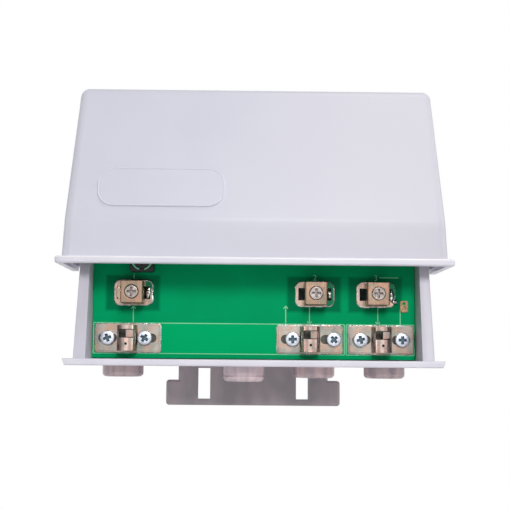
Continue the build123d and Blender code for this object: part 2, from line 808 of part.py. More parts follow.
def make_chips():
    """Chip resistors and capacitors, each with its raised end caps."""
    pieces = []
    cap = chip_width * chip_cap_share
    for place in zip(chip_x_shares, chip_level_shares):
        x, z = board_place(*place)
        chip = bar(x, z, chip_width, chip_height, board_front_y - chip_rise, board_front_y)
        for side in (-1, 1):
            cap_x = x + side * (chip_width - cap) / 2
            front = board_front_y - chip_rise - chip_rise * chip_cap_share / 2
            chip += bar(cap_x, z, cap, chip_height, front, board_front_y)
        pieces.append(chip)
    return Compound(pieces)


def make_power_link():
    """The copper link near the right wall that feeds the supply to the output."""
    z = flange_top_z + link_level
    link = bar(link_x, z, link_width, link_height, board_front_y - link_rise, board_front_y)
    link = fillet(link.edges().filter_by(Axis.Y), link_rise)
    return link - rod_y(link_hole_diameter, link_x, z + link_height / 4, front_y, back_y)


def build_nodes():
    """Every node by name."""
    nodes = {
        "base_housing": make_base_housing(),
        "sliding_cover": make_sliding_cover(),
        "mast_bracket": make_mast_bracket(),
        "bracket_screws": make_bracket_screws(),
        "circuit_board": make_circuit_board(),
        "board_screws": make_board_screws(),
        "blanking_plug": make_blanking_plug(),
        "gain_trimmer_body": make_trimmer_body(),
        "gain_trimmer_rotor": make_trimmer_rotor(),
        "screening_can": make_screening_can(),
        "transistors": make_transistors(),
        "voltage_regulator": make_regulator(),
        "electrolytic_capacitor": make_capacitor(),
        "supply_choke": make_choke(),
        "ferrite_splitter": make_splitter(),
        "chip_components": make_chips(),
        "power_link": make_power_link(),
    }
    places = zip(cable_xs, clamp_xs, terminal_xs, strap_screw_offsets)
    for number, (cable, clamp, terminal, offsets) in enumerate(places, start=1):
        nodes[f"cable_gland_{number}"] = make_cable_gland(cable)
        nodes[f"ground_plate_{number}"] = make_ground_plate(clamp, offsets)
        nodes[f"braid_strap_{number}"] = make_braid_strap(clamp)
        nodes[f"strap_screws_{number}"] = make_strap_screws(clamp, offsets)
        nodes[f"terminal_frame_{number}"] = make_terminal_frame(terminal)
        nodes[f"terminal_cage_{number}"] = make_terminal_cage(terminal)
        nodes[f"terminal_screw_{number}"] = make_terminal_screw(terminal)
    return nodes


os.makedirs("parts", exist_ok=True)
for name, shape in build_nodes().items():
    export_step(shape, f"parts/{name}.step")
print("front of the flange Y", front_y, "top of the flange Z", flange_top_z)
print("hood foot Z", hood_foot_z, "hood top Z", hood_top_z)
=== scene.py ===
# %% [markdown]
# The object is a mast-head television amplifier with its hood raised over the terminals. Its pieces
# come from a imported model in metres, which holds their real sizes. This lesson gives them their
# finishes, rounds their edges, and adds the small things that a mould, a press or a solder pot leaves.

import json
import math

import bmesh
import bpy
from mathutils import Matrix, Vector, noise as swelling

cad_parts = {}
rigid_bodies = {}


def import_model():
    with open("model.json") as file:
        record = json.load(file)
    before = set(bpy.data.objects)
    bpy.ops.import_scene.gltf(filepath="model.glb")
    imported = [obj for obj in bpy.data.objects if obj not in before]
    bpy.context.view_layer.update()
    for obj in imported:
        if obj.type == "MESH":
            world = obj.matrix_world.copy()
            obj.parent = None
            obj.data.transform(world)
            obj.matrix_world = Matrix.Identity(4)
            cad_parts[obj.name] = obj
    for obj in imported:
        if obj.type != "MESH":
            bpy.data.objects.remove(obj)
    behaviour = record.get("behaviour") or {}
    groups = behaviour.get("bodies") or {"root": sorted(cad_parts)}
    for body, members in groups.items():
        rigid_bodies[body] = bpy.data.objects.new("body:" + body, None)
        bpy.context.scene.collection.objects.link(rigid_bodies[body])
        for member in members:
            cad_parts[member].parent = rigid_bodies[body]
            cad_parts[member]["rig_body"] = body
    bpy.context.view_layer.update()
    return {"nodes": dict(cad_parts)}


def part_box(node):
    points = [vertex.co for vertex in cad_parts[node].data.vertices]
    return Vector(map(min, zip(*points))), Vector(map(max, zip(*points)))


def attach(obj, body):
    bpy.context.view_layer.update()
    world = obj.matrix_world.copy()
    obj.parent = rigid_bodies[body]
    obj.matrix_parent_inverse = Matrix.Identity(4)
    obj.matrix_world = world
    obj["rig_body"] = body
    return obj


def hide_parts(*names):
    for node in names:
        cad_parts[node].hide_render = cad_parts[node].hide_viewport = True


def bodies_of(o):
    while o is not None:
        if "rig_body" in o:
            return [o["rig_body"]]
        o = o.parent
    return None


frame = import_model()
mm = 0.001
cables = (1, 2, 3)

# %% [markdown]
# A product photograph is taken from a little below with a long lens, so the sides hardly splay.
# The camera is placed by three angles: how far it turns, looks up and leans. Turning those into
# the camera's own right, up and backward directions keeps each one a number that can be read.

# %% Camera
camera_place = Vector((-3.67, -410.5, -31.35)) * mm
camera_turn = math.radians(0.56)
camera_rise = math.radians(5.7)
camera_lean = math.radians(0.49)
lens_length = 72.06
sensor_width = 36.0


def camera_axes(turn, rise, lean):
    """The camera's right, up and backward directions."""
    ahead = Vector((math.sin(turn) * math.cos(rise), math.cos(turn) * math.cos(rise), math.sin(rise)))
    level = Vector((math.cos(turn), -math.sin(turn), 0))
    upright = level.cross(ahead)
    right = level * math.cos(lean) + upright * math.sin(lean)
    up = upright * math.cos(lean) - level * math.sin(lean)
    return Matrix((right, up, -ahead)).transposed()


def make_camera():
    """The camera, level with the lower edge of the object."""
    lens = bpy.data.cameras.new("camera")
    lens.lens = lens_length
    lens.sensor_width = sensor_width
    lens.sensor_fit = "HORIZONTAL"
    camera = bpy.data.objects.new("camera", lens)
    bpy.context.scene.collection.objects.link(camera)
    turn = camera_axes(camera_turn, camera_rise, camera_lean)
    camera.matrix_world = Matrix.Translation(camera_place) @ turn.to_4x4()
    bpy.context.scene.camera = camera


make_camera()
print("camera stands", round(-camera_place.y, 3), "m in front of the mast face")

# %% [markdown]
# A finish is more than a colour. Moulded plastic wanders a little in tone, and its fine spark-eroded
# grain breaks up the gloss. One function makes such a finish from two near colours, a slow noise
# that mixes them, and a fine noise that moves the roughness and raises the bump. It reads Object
# coordinates in metres, so a grain of half a millimetre is the same on every piece.

# %% Finishes: helpers
def linear(red, green, blue):
    """A screen colour of 0 to 255 a channel, as the linear colour that a shader takes."""
    shares = [value / 255 for value in (red, green, blue)]
    return (*[((s + 0.055) / 1.055) ** 2.4 if s > 0.04045 else s / 12.92 for s in shares], 1.0)


def noise(tree, size, detail, stretch=(1, 1, 1)):
    """A noise whose lumps are about size across, in metres."""
    place = tree.nodes.new("ShaderNodeTexCoord")
    turn = tree.nodes.new("ShaderNodeMapping")
    turn.inputs["Scale"].default_value = stretch
    tree.links.new(place.outputs["Object"], turn.inputs["Vector"])
    texture = tree.nodes.new("ShaderNodeTexNoise")
    texture.inputs["Scale"].default_value = 1 / size
    texture.inputs["Detail"].default_value = detail
    tree.links.new(turn.outputs["Vector"], texture.inputs["Vector"])
    return texture.outputs["Fac"]


def remap(tree, value, low, high, start=0.35, end=0.65):
    """A noise value between start and end, spread over low to high."""
    node = tree.nodes.new("ShaderNodeMapRange")
    for name, number in (("From Min", start), ("From Max", end), ("To Min", low), ("To Max", high)):
        node.inputs[name].default_value = number
    tree.links.new(value, node.inputs["Value"])
    return node.outputs["Result"]


def blended(tree, share, first, second, way="MIX"):
    """Two colours mixed by a share. Each is a colour or another node's output."""
    node = tree.nodes.new("ShaderNodeMix")
    node.data_type = "RGBA"
    node.blend_type = way
    tree.links.new(share, node.inputs["Factor"])
    for name, colour in (("A", first), ("B", second)):
        socket = next(s for s in node.inputs if s.name == name and s.type == "RGBA")
        if isinstance(colour, tuple):
            socket.default_value = colour
        else:
            tree.links.new(colour, socket)
    return next(s for s in node.outputs if s.type == "RGBA")


def start_finish(name):
    """A new material, its tree and its shader."""
    material = bpy.data.materials.new(name)
    material.use_nodes = True
    return material, material.node_tree, material.node_tree.nodes["Principled BSDF"]


def raise_grain(tree, shader, height, strength, depth):
    """Connects a height to the shader as a bump, depth metres high."""
    bump = tree.nodes.new("ShaderNodeBump")
    bump.inputs["Strength"].default_value = strength
    bump.inputs["Distance"].default_value = depth
    tree.links.new(height, bump.inputs["Height"])
    tree.links.new(bump.outputs["Normal"], shader.inputs["Normal"])


print("grey 128 on screen is", round(linear(128, 128, 128)[0], 3), "in linear light")

# %% Finishes: moulded and rubbed surfaces
plain = (1, 1, 1)
sheen_streaks_up = (1, 1, 0.1)
rubbed_up = (1, 1, 0.15)
rubbed_across = (0.15, 1, 1)
patch_stretch = (1, 0.6, 0.55)
spot_size = 0.6
spot_range = (0.4, 0.72)
rubbed_line = 0.5 * mm
plastic_gloss, metal_gloss = (-0.05, 0.07), (-0.07, 0.12)
plastic_bump, metal_bump = 0.35, 0.3


def moulded(name, tones, roughness, grain_size, grain_depth, cloud_size=14 * mm, stretch=plain):
    """A moulded plastic or rubber: clouds of two near tones, with a fine grain."""
    material, tree, shader = start_finish(name)
    clouds = remap(tree, noise(tree, cloud_size, 2, stretch), 0, 1)
    first, second = [linear(*tone) for tone in tones]
    tree.links.new(blended(tree, clouds, first, second), shader.inputs["Base Color"])
    grain = noise(tree, grain_size, 3)
    gloss = remap(tree, grain, roughness + plastic_gloss[0], roughness + plastic_gloss[1])
    tree.links.new(gloss, shader.inputs["Roughness"])
    raise_grain(tree, shader, grain, plastic_bump, grain_depth)
    return material


def metal(name, tones, roughness, patch_size, scratch_depth, polish=plain, metallic=1.0):
    """A plated or bare metal: patches of three tones, own tone and painted reflections, with fine rubbed
    lines.
    """
    material, tree, shader = start_finish(name)
    shader.inputs["Metallic"].default_value = metallic
    # The patches are partly the metal's own tone and partly painted reflections.
    patches = remap(tree, noise(tree, patch_size, 2, patch_stretch), 0, 1)
    spots = remap(tree, noise(tree, patch_size * spot_size, 1), 0, 1, *spot_range)
    first, second, third = [linear(*tone) for tone in tones]
    mixed = blended(tree, patches, first, second)
    tree.links.new(blended(tree, spots, mixed, third), shader.inputs["Base Color"])
    lines = noise(tree, rubbed_line, 4, polish)
    gloss = remap(tree, lines, roughness + metal_gloss[0], roughness + metal_gloss[1])
    tree.links.new(gloss, shader.inputs["Roughness"])
    raise_grain(tree, shader, lines, metal_bump, scratch_depth)
    return material


housing_finish = moulded("housing_plastic", ((216, 212, 224), (208, 205, 216)),
                         0.42, 0.35 * mm, 0.012 * mm)
hood_finish = moulded("hood_plastic", ((217, 217, 229), (214, 214, 227)),
                      0.4, 0.3 * mm, 0.012 * mm, 30 * mm)
# Painted highlight: the plaque's rim is a little lighter than the hood.
plaque_rim_painted_highlight = moulded("plaque_rim_plastic", ((226, 224, 234), (222, 220, 231)),
                            0.38, 0.3 * mm, 0.01 * mm)
# Painted highlight: a near-white band along the upper rounding of the hood's lip.
painted_highlight_rim = moulded("rim_painted_highlight", ((252, 250, 254), (248, 246, 252)),
                          0.2, 0.3 * mm, 0.004 * mm)
# Painted light: the hood's lip and the housing's flange are painted lighter than their walls.
painted_light_rim = moulded("rim_plastic_painted_light", ((234, 231, 241), (227, 225, 236)), 0.36, 0.3 * mm, 0.01 * mm)
bracket_finish = moulded("bracket_plastic", ((174, 161, 166), (152, 145, 150)),
                         0.46, 0.4 * mm, 0.02 * mm, 7 * mm, (1, 1, 0.5))
# The upright streaks of tone are partly the rubber's own and partly painted sheen.
gland_finish = moulded("gland_rubber", ((218, 190, 192), (164, 150, 156)),
                       0.26, 0.6 * mm, 0.01 * mm, 4 * mm, sheen_streaks_up)
plug_finish = moulded("plug_rubber", ((242, 216, 220), (204, 188, 194)),
                      0.26, 0.6 * mm, 0.01 * mm, 4 * mm, sheen_streaks_up)
black_finish = moulded("black_plastic", ((18, 19, 25), (28, 29, 36)), 0.38, 0.4 * mm, 0.01 * mm)
rotor_finish = moulded("rotor_plastic", ((52, 53, 60), (42, 43, 50)), 0.4, 0.4 * mm, 0.01 * mm)
ferrite_finish = moulded("ferrite", ((64, 62, 64), (48, 47, 50)), 0.6, 0.25 * mm, 0.03 * mm)
ink_finish = moulded("print_ink", ((148, 240, 186), (126, 226, 168)), 0.6, 0.2 * mm, 0.008 * mm)

nickel_finish = metal("nickel_sheet", ((156, 150, 143), (118, 120, 114), (164, 134, 118)),
                      0.28, 5.5 * mm, 0.0015 * mm, rubbed_across)
# Painted highlight: the arch is the same sheet as the strap, painted brighter.
arch_painted_highlight = metal("arch_sheet_painted_highlight", ((190, 176, 168), (150, 142, 134), (206, 164, 152)),
                    0.2, 2.6 * mm, 0.003 * mm, rubbed_up)
cage_finish = metal("terminal_cage_metal", ((140, 122, 104), (116, 104, 90), (154, 118, 102)),
                    0.28, 3.4 * mm, 0.002 * mm, rubbed_up)
frame_finish = metal("terminal_frame_metal", ((160, 143, 128), (138, 122, 110), (172, 141, 126)),
                     0.28, 3.4 * mm, 0.0015 * mm, rubbed_up)
screw_finish = metal("screw_steel", ((214, 220, 232), (184, 194, 208), (228, 228, 238)),
                     0.3, 1.4 * mm, 0.003 * mm, metallic=0.55)
terminal_screw_finish = metal("terminal_screw_metal", ((150, 142, 137), (122, 115, 111), (166, 152, 148)),
                              0.24, 1.6 * mm, 0.002 * mm)
# Painted shade: the terminal screws' recesses are painted darker than their heads.
terminal_recess_painted_shade = metal("terminal_screw_recess_painted_shade", ((124, 117, 113), (100, 95, 93), (140, 130, 126)),
                               0.42, 1.0 * mm, 0.004 * mm)
# Painted shade: the dark teal of the screws' cross recesses.
recess_painted_shade = metal("screw_recess_painted_shade", ((74, 102, 115), (56, 80, 92), (94, 120, 133)),
                      0.42, 1.0 * mm, 0.004 * mm, metallic=0.4)
# Painted shade: a dull brown sheet under each strap.
strap_shade_finish = moulded("strap_painted_shade", ((84, 86, 74), (58, 50, 38)), 0.45, 0.5 * mm, 0.01 * mm, 3 * mm)
solder_finish = metal("solder", ((176, 178, 174), (128, 134, 128), (204, 206, 204)),
                      0.2, 1.0 * mm, 0.006 * mm)
tin_finish = metal("tinned_sheet", ((206, 208, 210), (184, 188, 190), (214, 214, 212)),
                   0.34, 4 * mm, 0.008 * mm, (1, 1, 0.2))
copper_finish = metal("copper", ((172, 128, 86), (128, 92, 62), (190, 150, 112)),
                      0.34, 0.9 * mm, 0.008 * mm)
link_finish = metal("link_copper", ((136, 112, 82), (94, 74, 54), (160, 132, 104)),
                    0.34, 0.8 * mm, 0.008 * mm)
print("finishes made:", len(bpy.data.materials))

# %% [markdown]
# Some tones change inside one piece, with a soft edge: some are the thing's own colour, and some are
# painted light, painted shade and painted reflections. A mask from the distance to a rectangle's
# nearest side does this in the shader, so the piece keeps its plain mesh. Each mask looks at the
# front view, X and Z, and each side is softened over a length of its own.

# %% Masks, stains and painted light
def arithmetic(tree, operation, first, second):
    """One sum of two values. Each is a number or another node's output."""
    node = tree.nodes.new("ShaderNodeMath")
    node.operation = operation
    for socket, value in zip(node.inputs, (first, second)):
        if isinstance(value, (int, float)):
            socket.default_value = value
        else:
            tree.links.new(value, socket)
    return node.outputs["Value"]


def front_mask(tree, axes, low, high, softness):
    """1 inside a rectangle of the front view and 0 outside it, softened along X and along Z."""
    sides = []
    for axis, soft in zip(("X", "Z"), softness):
        edge_low, edge_high = getattr(low, axis.lower()), getattr(high, axis.lower())
        for first, second in ((axes[axis], edge_low), (edge_high, axes[axis])):
            sides.append(arithmetic(tree, "DIVIDE", arithmetic(tree, "SUBTRACT", first, second), soft))
    nearest = sides[0]
    for side in sides[1:]:
        nearest = arithmetic(tree, "MINIMUM", nearest, side)
    return remap(tree, nearest, 0, 1, -1, 1)


def stain(material, areas, softness, way="MIX"):
    """Mixes a tone into a finish in each area, from its two corners and its tone: stains and painted light.
    """
    tree = material.node_tree
    base = tree.nodes["Principled BSDF"].inputs["Base Color"]
    place = tree.nodes.new("ShaderNodeTexCoord")
    split = tree.nodes.new("ShaderNodeSeparateXYZ")
    tree.links.new(place.outputs["Object"], split.inputs["Vector"])
    colour = base.links[0].from_socket
    for low, high, tone in areas:
        mask = front_mask(tree, split.outputs, low, high, softness)
        colour = blended(tree, mask, colour, tone, way)
    tree.links.new(colour, base)
    print(material.name, "areas in another tone:", len(areas))


# %% [markdown]
# The board's green is a lacquer over copper. Where the copper is cleared round each terminal it looks
# darker. The strip behind the clamps, between the printed lines, is painted a little lighter: painted
# light, which stands for the flange's light thrown back onto the board.

# %% Board lacquer
flange_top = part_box("circuit_board")[0].z - 0.3 * mm
board_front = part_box("circuit_board")[0].y
clearing_margins = (Vector((-3.3, 0, -2.1)) * mm, Vector((2.7, 0, 2.1)) * mm)
lacquer_tones = ((0, 174, 110), (2, 167, 104))
lacquer_specular = 0.02
lacquer_gloss = (0.26, 0.36)
lacquer_cloud, lacquer_grain = 20 * mm, 0.8 * mm
lacquer_bump, lacquer_depth = 0.2, 0.01 * mm
lacquer_softness = 0.6 * mm
bounce_strip_margin = 0.35 * mm
clearing_green = linear(0, 126, 80)
# Painted light: the strip's lighter green stands for the flange's light thrown back onto the board.
painted_bounce_green = linear(0, 191, 118)


def make_lacquer():
    """The board's green lacquer, with hardly any gloss of its own."""
    material, tree, shader = start_finish("board_laminate")
    shader.inputs["Specular IOR Level"].default_value = lacquer_specular
    clouds = remap(tree, noise(tree, lacquer_cloud, 2), 0, 1)
    first, second = [linear(*tone) for tone in lacquer_tones]
    tree.links.new(blended(tree, clouds, first, second), shader.inputs["Base Color"])
    grain = noise(tree, lacquer_grain, 3)
    tree.links.new(remap(tree, grain, *lacquer_gloss), shader.inputs["Roughness"])
    raise_grain(tree, shader, grain, lacquer_bump, lacquer_depth)
    return material


def lacquer_areas():
    """The three clearings and the strip of painted light behind the clamps."""
    frames = [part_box(f"terminal_frame_{number}") for number in cables]
    low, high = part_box("circuit_board")
    plate_low, plate_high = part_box("ground_plate_1")
    low.z, high.z = plate_low.z - bounce_strip_margin, plate_high.z + bounce_strip_margin
    left, right = clearing_margins
    clearings = [(box[0] + left, box[1] + right, clearing_green) for box in frames]
    return clearings + [(low, high, painted_bounce_green)]


lacquer_finish = make_lacquer()
stain(lacquer_finish, lacquer_areas(), (lacquer_softness, lacquer_softness))
print("board front at", round(board_front / mm, 1), "mm")

# %% [markdown]
# The frames' right ends are painted dark green, each from its own height upwards: a painted
# reflection of the green board, with painted shade. The hood's light shifts from left to right, and
# below its step the wall turns a little away from it. Both shifts are painted into the hood's colour,
# as painted light on its right and painted shade below its step, and stay with the hood wherever it
# is slid.

# %% Painted reflections on the frames, painted light and shade on the hood
frame_reflection_feet = {1: 6.0 * mm, 2: -1.0 * mm, 3: 3.0 * mm}
frame_reflection_green = linear(30, 84, 58)
frame_reflection_softness = 0.3 * mm
cage_gap = 0.2 * mm
# Painted light on the hood's right side, and painted shade below its step.
painted_light_tone = linear(220, 218, 228)
painted_light_start = 12 * mm
painted_light_softness = 30 * mm
step_height = 16 * mm
step_softness = 2.5 * mm
step_shade = (0.925, 0.925, 0.93, 1)
left_start = -30 * mm
left_softness = 28 * mm
far = 1.0

# Painted reflection and painted shade: each frame's right end, past its cage, is painted dark green.
frame_reflections = []
for number, foot in frame_reflection_feet.items():
    low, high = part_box(f"terminal_frame_{number}")
    cage_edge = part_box(f"terminal_cage_{number}")[1].x
    corner = Vector((cage_edge + cage_gap, 0, low.z + foot))
    frame_reflections.append((corner, high + Vector((1, 0, 1)) * mm, frame_reflection_green))
stain(frame_finish, frame_reflections, (frame_reflection_softness, frame_reflection_softness))

hood_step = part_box("sliding_cover")[0].z + step_height
# The hood's colour carries painted light on its right and painted shade below its step.
painted_light_right = (Vector((painted_light_start, 0, -far)), Vector((far, 0, far)), painted_light_tone)
painted_shade_below_step = (Vector((left_start, 0, -far)), Vector((far, 0, hood_step)), step_shade)
stain(hood_finish, [painted_light_right], (painted_light_softness, far))
stain(hood_finish, [painted_shade_below_step], (left_softness, step_softness), "MULTIPLY")

# %% [markdown]
# Real edges are never knife sharp: a mould leaves a small radius and a press rolls the sheet's edge.
# That radius catches the light, so it is worth making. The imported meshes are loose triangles, so a
# copy is joined up, its flat faces are merged, and a Bevel modifier rounds what is left sharp.

# %% Rounded copies
weld_reach = 0.002 * mm
flat_angle = math.radians(0.8)
sharp_angle = math.radians(28)
bevel_steps = 2


def joined_mesh(node):
    """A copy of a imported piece's mesh, with doubles merged and flat faces made whole."""
    form = bmesh.new()
    form.from_mesh(frame["nodes"][node].data)
    bmesh.ops.remove_doubles(form, verts=form.verts, dist=weld_reach)
    bmesh.ops.dissolve_degenerate(form, edges=form.edges, dist=weld_reach)
    bmesh.ops.dissolve_limit(form, angle_limit=flat_angle, verts=form.verts, edges=form.edges)
    open_edges = sum(not edge.is_manifold for edge in form.edges)
    mesh = bpy.data.meshes.new(node)
    form.to_mesh(mesh)
    form.free()
    return mesh, open_edges


def shade(mesh, angle=sharp_angle):
    """Smooth shading, broken where two faces meet at more than an angle."""
    mesh.polygons.foreach_set("use_smooth", [True] * len(mesh.polygons))
    mesh.set_sharp_from_angle(angle=angle)


def add_piece(name, mesh, material):
    """An object of its own from a mesh, in one finish."""
    mesh.materials.clear()
    mesh.materials.append(material)
    piece = bpy.data.objects.new(name, mesh)
    bpy.context.scene.collection.objects.link(piece)
    return piece


def plain_mesh(name, form):
    """A mesh from an edited form, with its faces pointing outwards."""
    bmesh.ops.recalc_face_normals(form, faces=form.faces)
    mesh = bpy.data.meshes.new(name)
    form.to_mesh(mesh)
    form.free()
    return mesh


def settle(piece, body, slot, *nodes):
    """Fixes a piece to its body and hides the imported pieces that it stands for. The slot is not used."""
    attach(piece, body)
    if nodes:
        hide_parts(*nodes)
    print(f"{piece.name}: {len(piece.data.polygons)} faces, moves with {body}")


def body_of(node):
    """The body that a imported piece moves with."""
    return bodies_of(frame["nodes"][node])[0]


def round_edges(node, material, slot, radius):
    """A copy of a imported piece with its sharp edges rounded, in its place."""
    mesh, open_edges = joined_mesh(node)
    shade(mesh)
    piece = add_piece(f"{node}_finished", mesh, material)
    bevel = piece.modifiers.new("rounded edges", "BEVEL")
    bevel.width = radius
    bevel.segments = bevel_steps
    bevel.limit_method = "ANGLE"
    bevel.angle_limit = sharp_angle
    bevel.harden_normals = True
    settle(piece, body_of(node), slot, node)
    return open_edges


finished = {
    "base_housing": (housing_finish, "housing_plastic", 0.25 * mm),
    "sliding_cover": (hood_finish, "hood_plastic", 0.25 * mm),
    "mast_bracket": (bracket_finish, "bracket_plastic", 0.3 * mm),
    "circuit_board": (lacquer_finish, "board_laminate", 0.08 * mm),
    "gain_trimmer_body": (black_finish, "black_plastic", 0.15 * mm),
    "gain_trimmer_rotor": (rotor_finish, "rotor_plastic", 0.1 * mm),
    "screening_can": (tin_finish, "tinned_sheet", 0.1 * mm),
    "voltage_regulator": (black_finish, "black_plastic", 0.08 * mm),
    "ferrite_splitter": (ferrite_finish, "ferrite", 0.15 * mm),
    "power_link": (link_finish, "copper", 0.08 * mm),
}
for number in cables:
    finished[f"ground_plate_{number}"] = (nickel_finish, "nickel_sheet", 0.12 * mm)
    finished[f"braid_strap_{number}"] = (nickel_finish, "nickel_sheet", 0.12 * mm)
    finished[f"terminal_frame_{number}"] = (frame_finish, "nickel_sheet", 0.12 * mm)
    finished[f"terminal_cage_{number}"] = (cage_finish, "nickel_sheet", 0.25 * mm)
    finished[f"terminal_screw_{number}"] = (terminal_screw_finish, "terminal_screw_metal", 0.08 * mm)
open_edges = {node: round_edges(node, *finish) for node, finish in finished.items()}
print("rounded pieces:", len(open_edges), "with open edges:", [n for n, count in open_edges.items() if count])

# %% [markdown]
# Screws, chips and transistors repeat, so one of each is modelled and a small Geometry Nodes tree
# sets a copy on every point it is given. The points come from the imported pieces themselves: each
# separate solid of a node is found again, and the middle of its box is where the copy goes.

# %% Solids of a node
def solid_boxes(node):
    """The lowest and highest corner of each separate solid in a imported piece."""
    mesh, _ = joined_mesh(node)
    form = bmesh.new()
    form.from_mesh(mesh)
    bpy.data.meshes.remove(mesh)
    waiting, boxes = set(form.verts), []
    while waiting:
        front, found = [waiting.pop()], []
        while front:
            vertex = front.pop()
            found.append(vertex.co.copy())
            near = {edge.other_vert(vertex) for edge in vertex.link_edges} & waiting
            waiting -= near
            front += near
        low = Vector([min(place[axis] for place in found) for axis in range(3)])
        high = Vector([max(place[axis] for place in found) for axis in range(3)])
        boxes.append((low, high))
    form.free()
    return sorted(boxes, key=lambda box: (box[0].x, box[0].z))


def middles(node, level):
    """The middle of each solid of a node in the front view, at a depth taken from its box."""
    return [((low.x + high.x) / 2, level(low, high), (low.z + high.z) / 2) for low, high in solid_boxes(node)]


print("chip components:", len(solid_boxes("chip_components")))


# %% Geometry Nodes: helpers
def build_tree(name, inputs, kinds, modes, settings, wires, result):
    """A Geometry Nodes tree from tables of inputs, nodes, modes, socket values and wires.

    What the result socket gives is made real and takes the finish.
    """
    tree = bpy.data.node_groups.new(name, "GeometryNodeTree")
    tree.interface.new_socket("Geometry", in_out="INPUT", socket_type="NodeSocketGeometry")
    for label, kind in {**inputs, "Finish": "Material"}.items():
        tree.interface.new_socket(label, in_out="INPUT", socket_type=f"NodeSocket{kind}")
    tree.interface.new_socket("Geometry", in_out="OUTPUT", socket_type="NodeSocketGeometry")
    kinds = {"given": "NodeGroupInput", **kinds, "real": "GeometryNodeRealizeInstances",
             "paint": "GeometryNodeSetMaterial", "made": "NodeGroupOutput"}
    nodes = {label: tree.nodes.new(kind) for label, kind in kinds.items()}
    for label, mode, value in modes:
        setattr(nodes[label], mode, value)
    for label, socket, value in settings:
        nodes[label].inputs[socket].default_value = value
    ending = [(*result, "real", "Geometry"), ("real", "Geometry", "paint", "Geometry"),
              ("given", "Finish", "paint", "Material"), ("paint", "Geometry", "made", "Geometry")]
    for start, output, end, socket in wires + ending:
        tree.links.new(nodes[start].outputs[output], nodes[end].inputs[socket])
    print(name, "nodes:", len(nodes), "wires:", len(tree.links))
    return tree


def grow(name, base, tree, values, finish):
    """The plain mesh that a tree makes from a base mesh and named values, as a piece."""
    seed_object = bpy.data.objects.new(f"{name}_base", base)
    bpy.context.scene.collection.objects.link(seed_object)
    modifier = seed_object.modifiers.new(tree.name, "NODES")
    modifier.node_group = tree
    given = {**values, "Finish": finish}
    for item in tree.interface.items_tree:
        if item.in_out == "INPUT" and item.name in given:
            modifier[item.identifier] = given[item.name]
    ready = seed_object.evaluated_get(bpy.context.evaluated_depsgraph_get())
    mesh = bpy.data.meshes.new_from_object(ready)
    bpy.data.objects.remove(seed_object)
    shade(mesh)
    return add_piece(name, mesh, finish)


def points_mesh(places):
    """A mesh of loose points."""
    mesh = bpy.data.meshes.new("places")
    mesh.from_pydata([tuple(place) for place in places], [], [])
    return mesh


# %% Geometry Nodes: one copy on every point
facing_front = (math.pi / 2, 0, 0)
facing_back = (-math.pi / 2, 0, 0)
copies_tree = build_tree(
    "copies on points",
    {"Pattern": "Object", "Facing": "Vector", "Spread": "Float", "Seed": "Int"},
    {"pattern": "GeometryNodeObjectInfo", "copies": "GeometryNodeInstanceOnPoints",
     "chance": "FunctionNodeRandomValue", "below": "ShaderNodeMath", "angle": "ShaderNodeCombineXYZ",
     "turn": "GeometryNodeRotateInstances"},
    [("below", "operation", "MULTIPLY")],
    [("below", 1, -1)],
    [("given", "Pattern", "pattern", "Object"), ("given", "Geometry", "copies", "Points"),
     ("pattern", "Geometry", "copies", "Instance"), ("given", "Facing", "copies", "Rotation"),
     ("given", "Spread", "below", 0), ("below", 0, "chance", 2), ("given", "Spread", "chance", 3),
     ("given", "Seed", "chance", "Seed"), ("chance", 1, "angle", "Z"), ("angle", 0, "turn", "Rotation"),
     ("copies", "Instances", "turn", "Instances")],
    ("turn", "Instances"))


def set_copies(name, pattern, places, finish, facing=facing_front, spread=0.0, seed=1):
    """A piece made of copies of a pattern, one at each place. The pattern's Z points outwards."""
    values = {"Pattern": pattern, "Facing": facing, "Spread": spread, "Seed": seed}
    piece = grow(name, points_mesh(places), copies_tree, values, finish)
    print(name, "copies:", len(places))
    return piece


# %% [markdown]
# A screw head is turned on a lathe, so its mesh is a profile spun about an axis. The cross recess is
# then cut by a tapered cross. The profile's crown is what makes the head read as a pan head: it
# gathers the light in the middle and darkens towards its rim.

# %% Lathe and cross
def lathe(name, profile, sides, centre=(0, 0)):
    """A solid of revolution about an upright axis, from (radius, height) points. It closes itself."""
    form = bmesh.new()
    rings = []
    for radius, height in profile:
        if radius < weld_reach:
            rings.append([form.verts.new((centre[0], centre[1], height))])
            continue
        ring = []
        for side in range(sides):
            angle = 2 * math.pi * side / sides
            x, y = centre[0] + radius * math.cos(angle), centre[1] + radius * math.sin(angle)
            ring.append(form.verts.new((x, y, height)))
        rings.append(ring)
    pairs = list(zip(rings, rings[1:]))
    if len(rings[0]) > 1:
        pairs.append((rings[-1], rings[0]))
    for lower, upper in pairs:
        for side in range(sides):
            after = (side + 1) % sides
            corners = [lower[side % len(lower)], lower[after % len(lower)],
                       upper[after % len(upper)], upper[side % len(upper)]]
            form.faces.new(list(dict.fromkeys(corners)))
    return plain_mesh(name, form)


def arc(radius, centre, start, end, steps):
    """Profile points along a round corner, by angle in degrees."""
    angles = [math.radians(start + (end - start) * step / steps) for step in range(steps + 1)]
    return [(centre[0] + radius * math.cos(a), centre[1] + radius * math.sin(a)) for a in angles]


def close_prism(form, front, back):
    """A closed solid between two outlines that have the same number of points."""
    front, back = [[form.verts.new(place) for place in outline] for outline in (front, back)]
    form.faces.new(front)
    form.faces.new(back[::-1])
    for n in range(len(front)):
        after = (n + 1) % len(front)
        form.faces.new((front[n], back[n], back[after], front[after]))


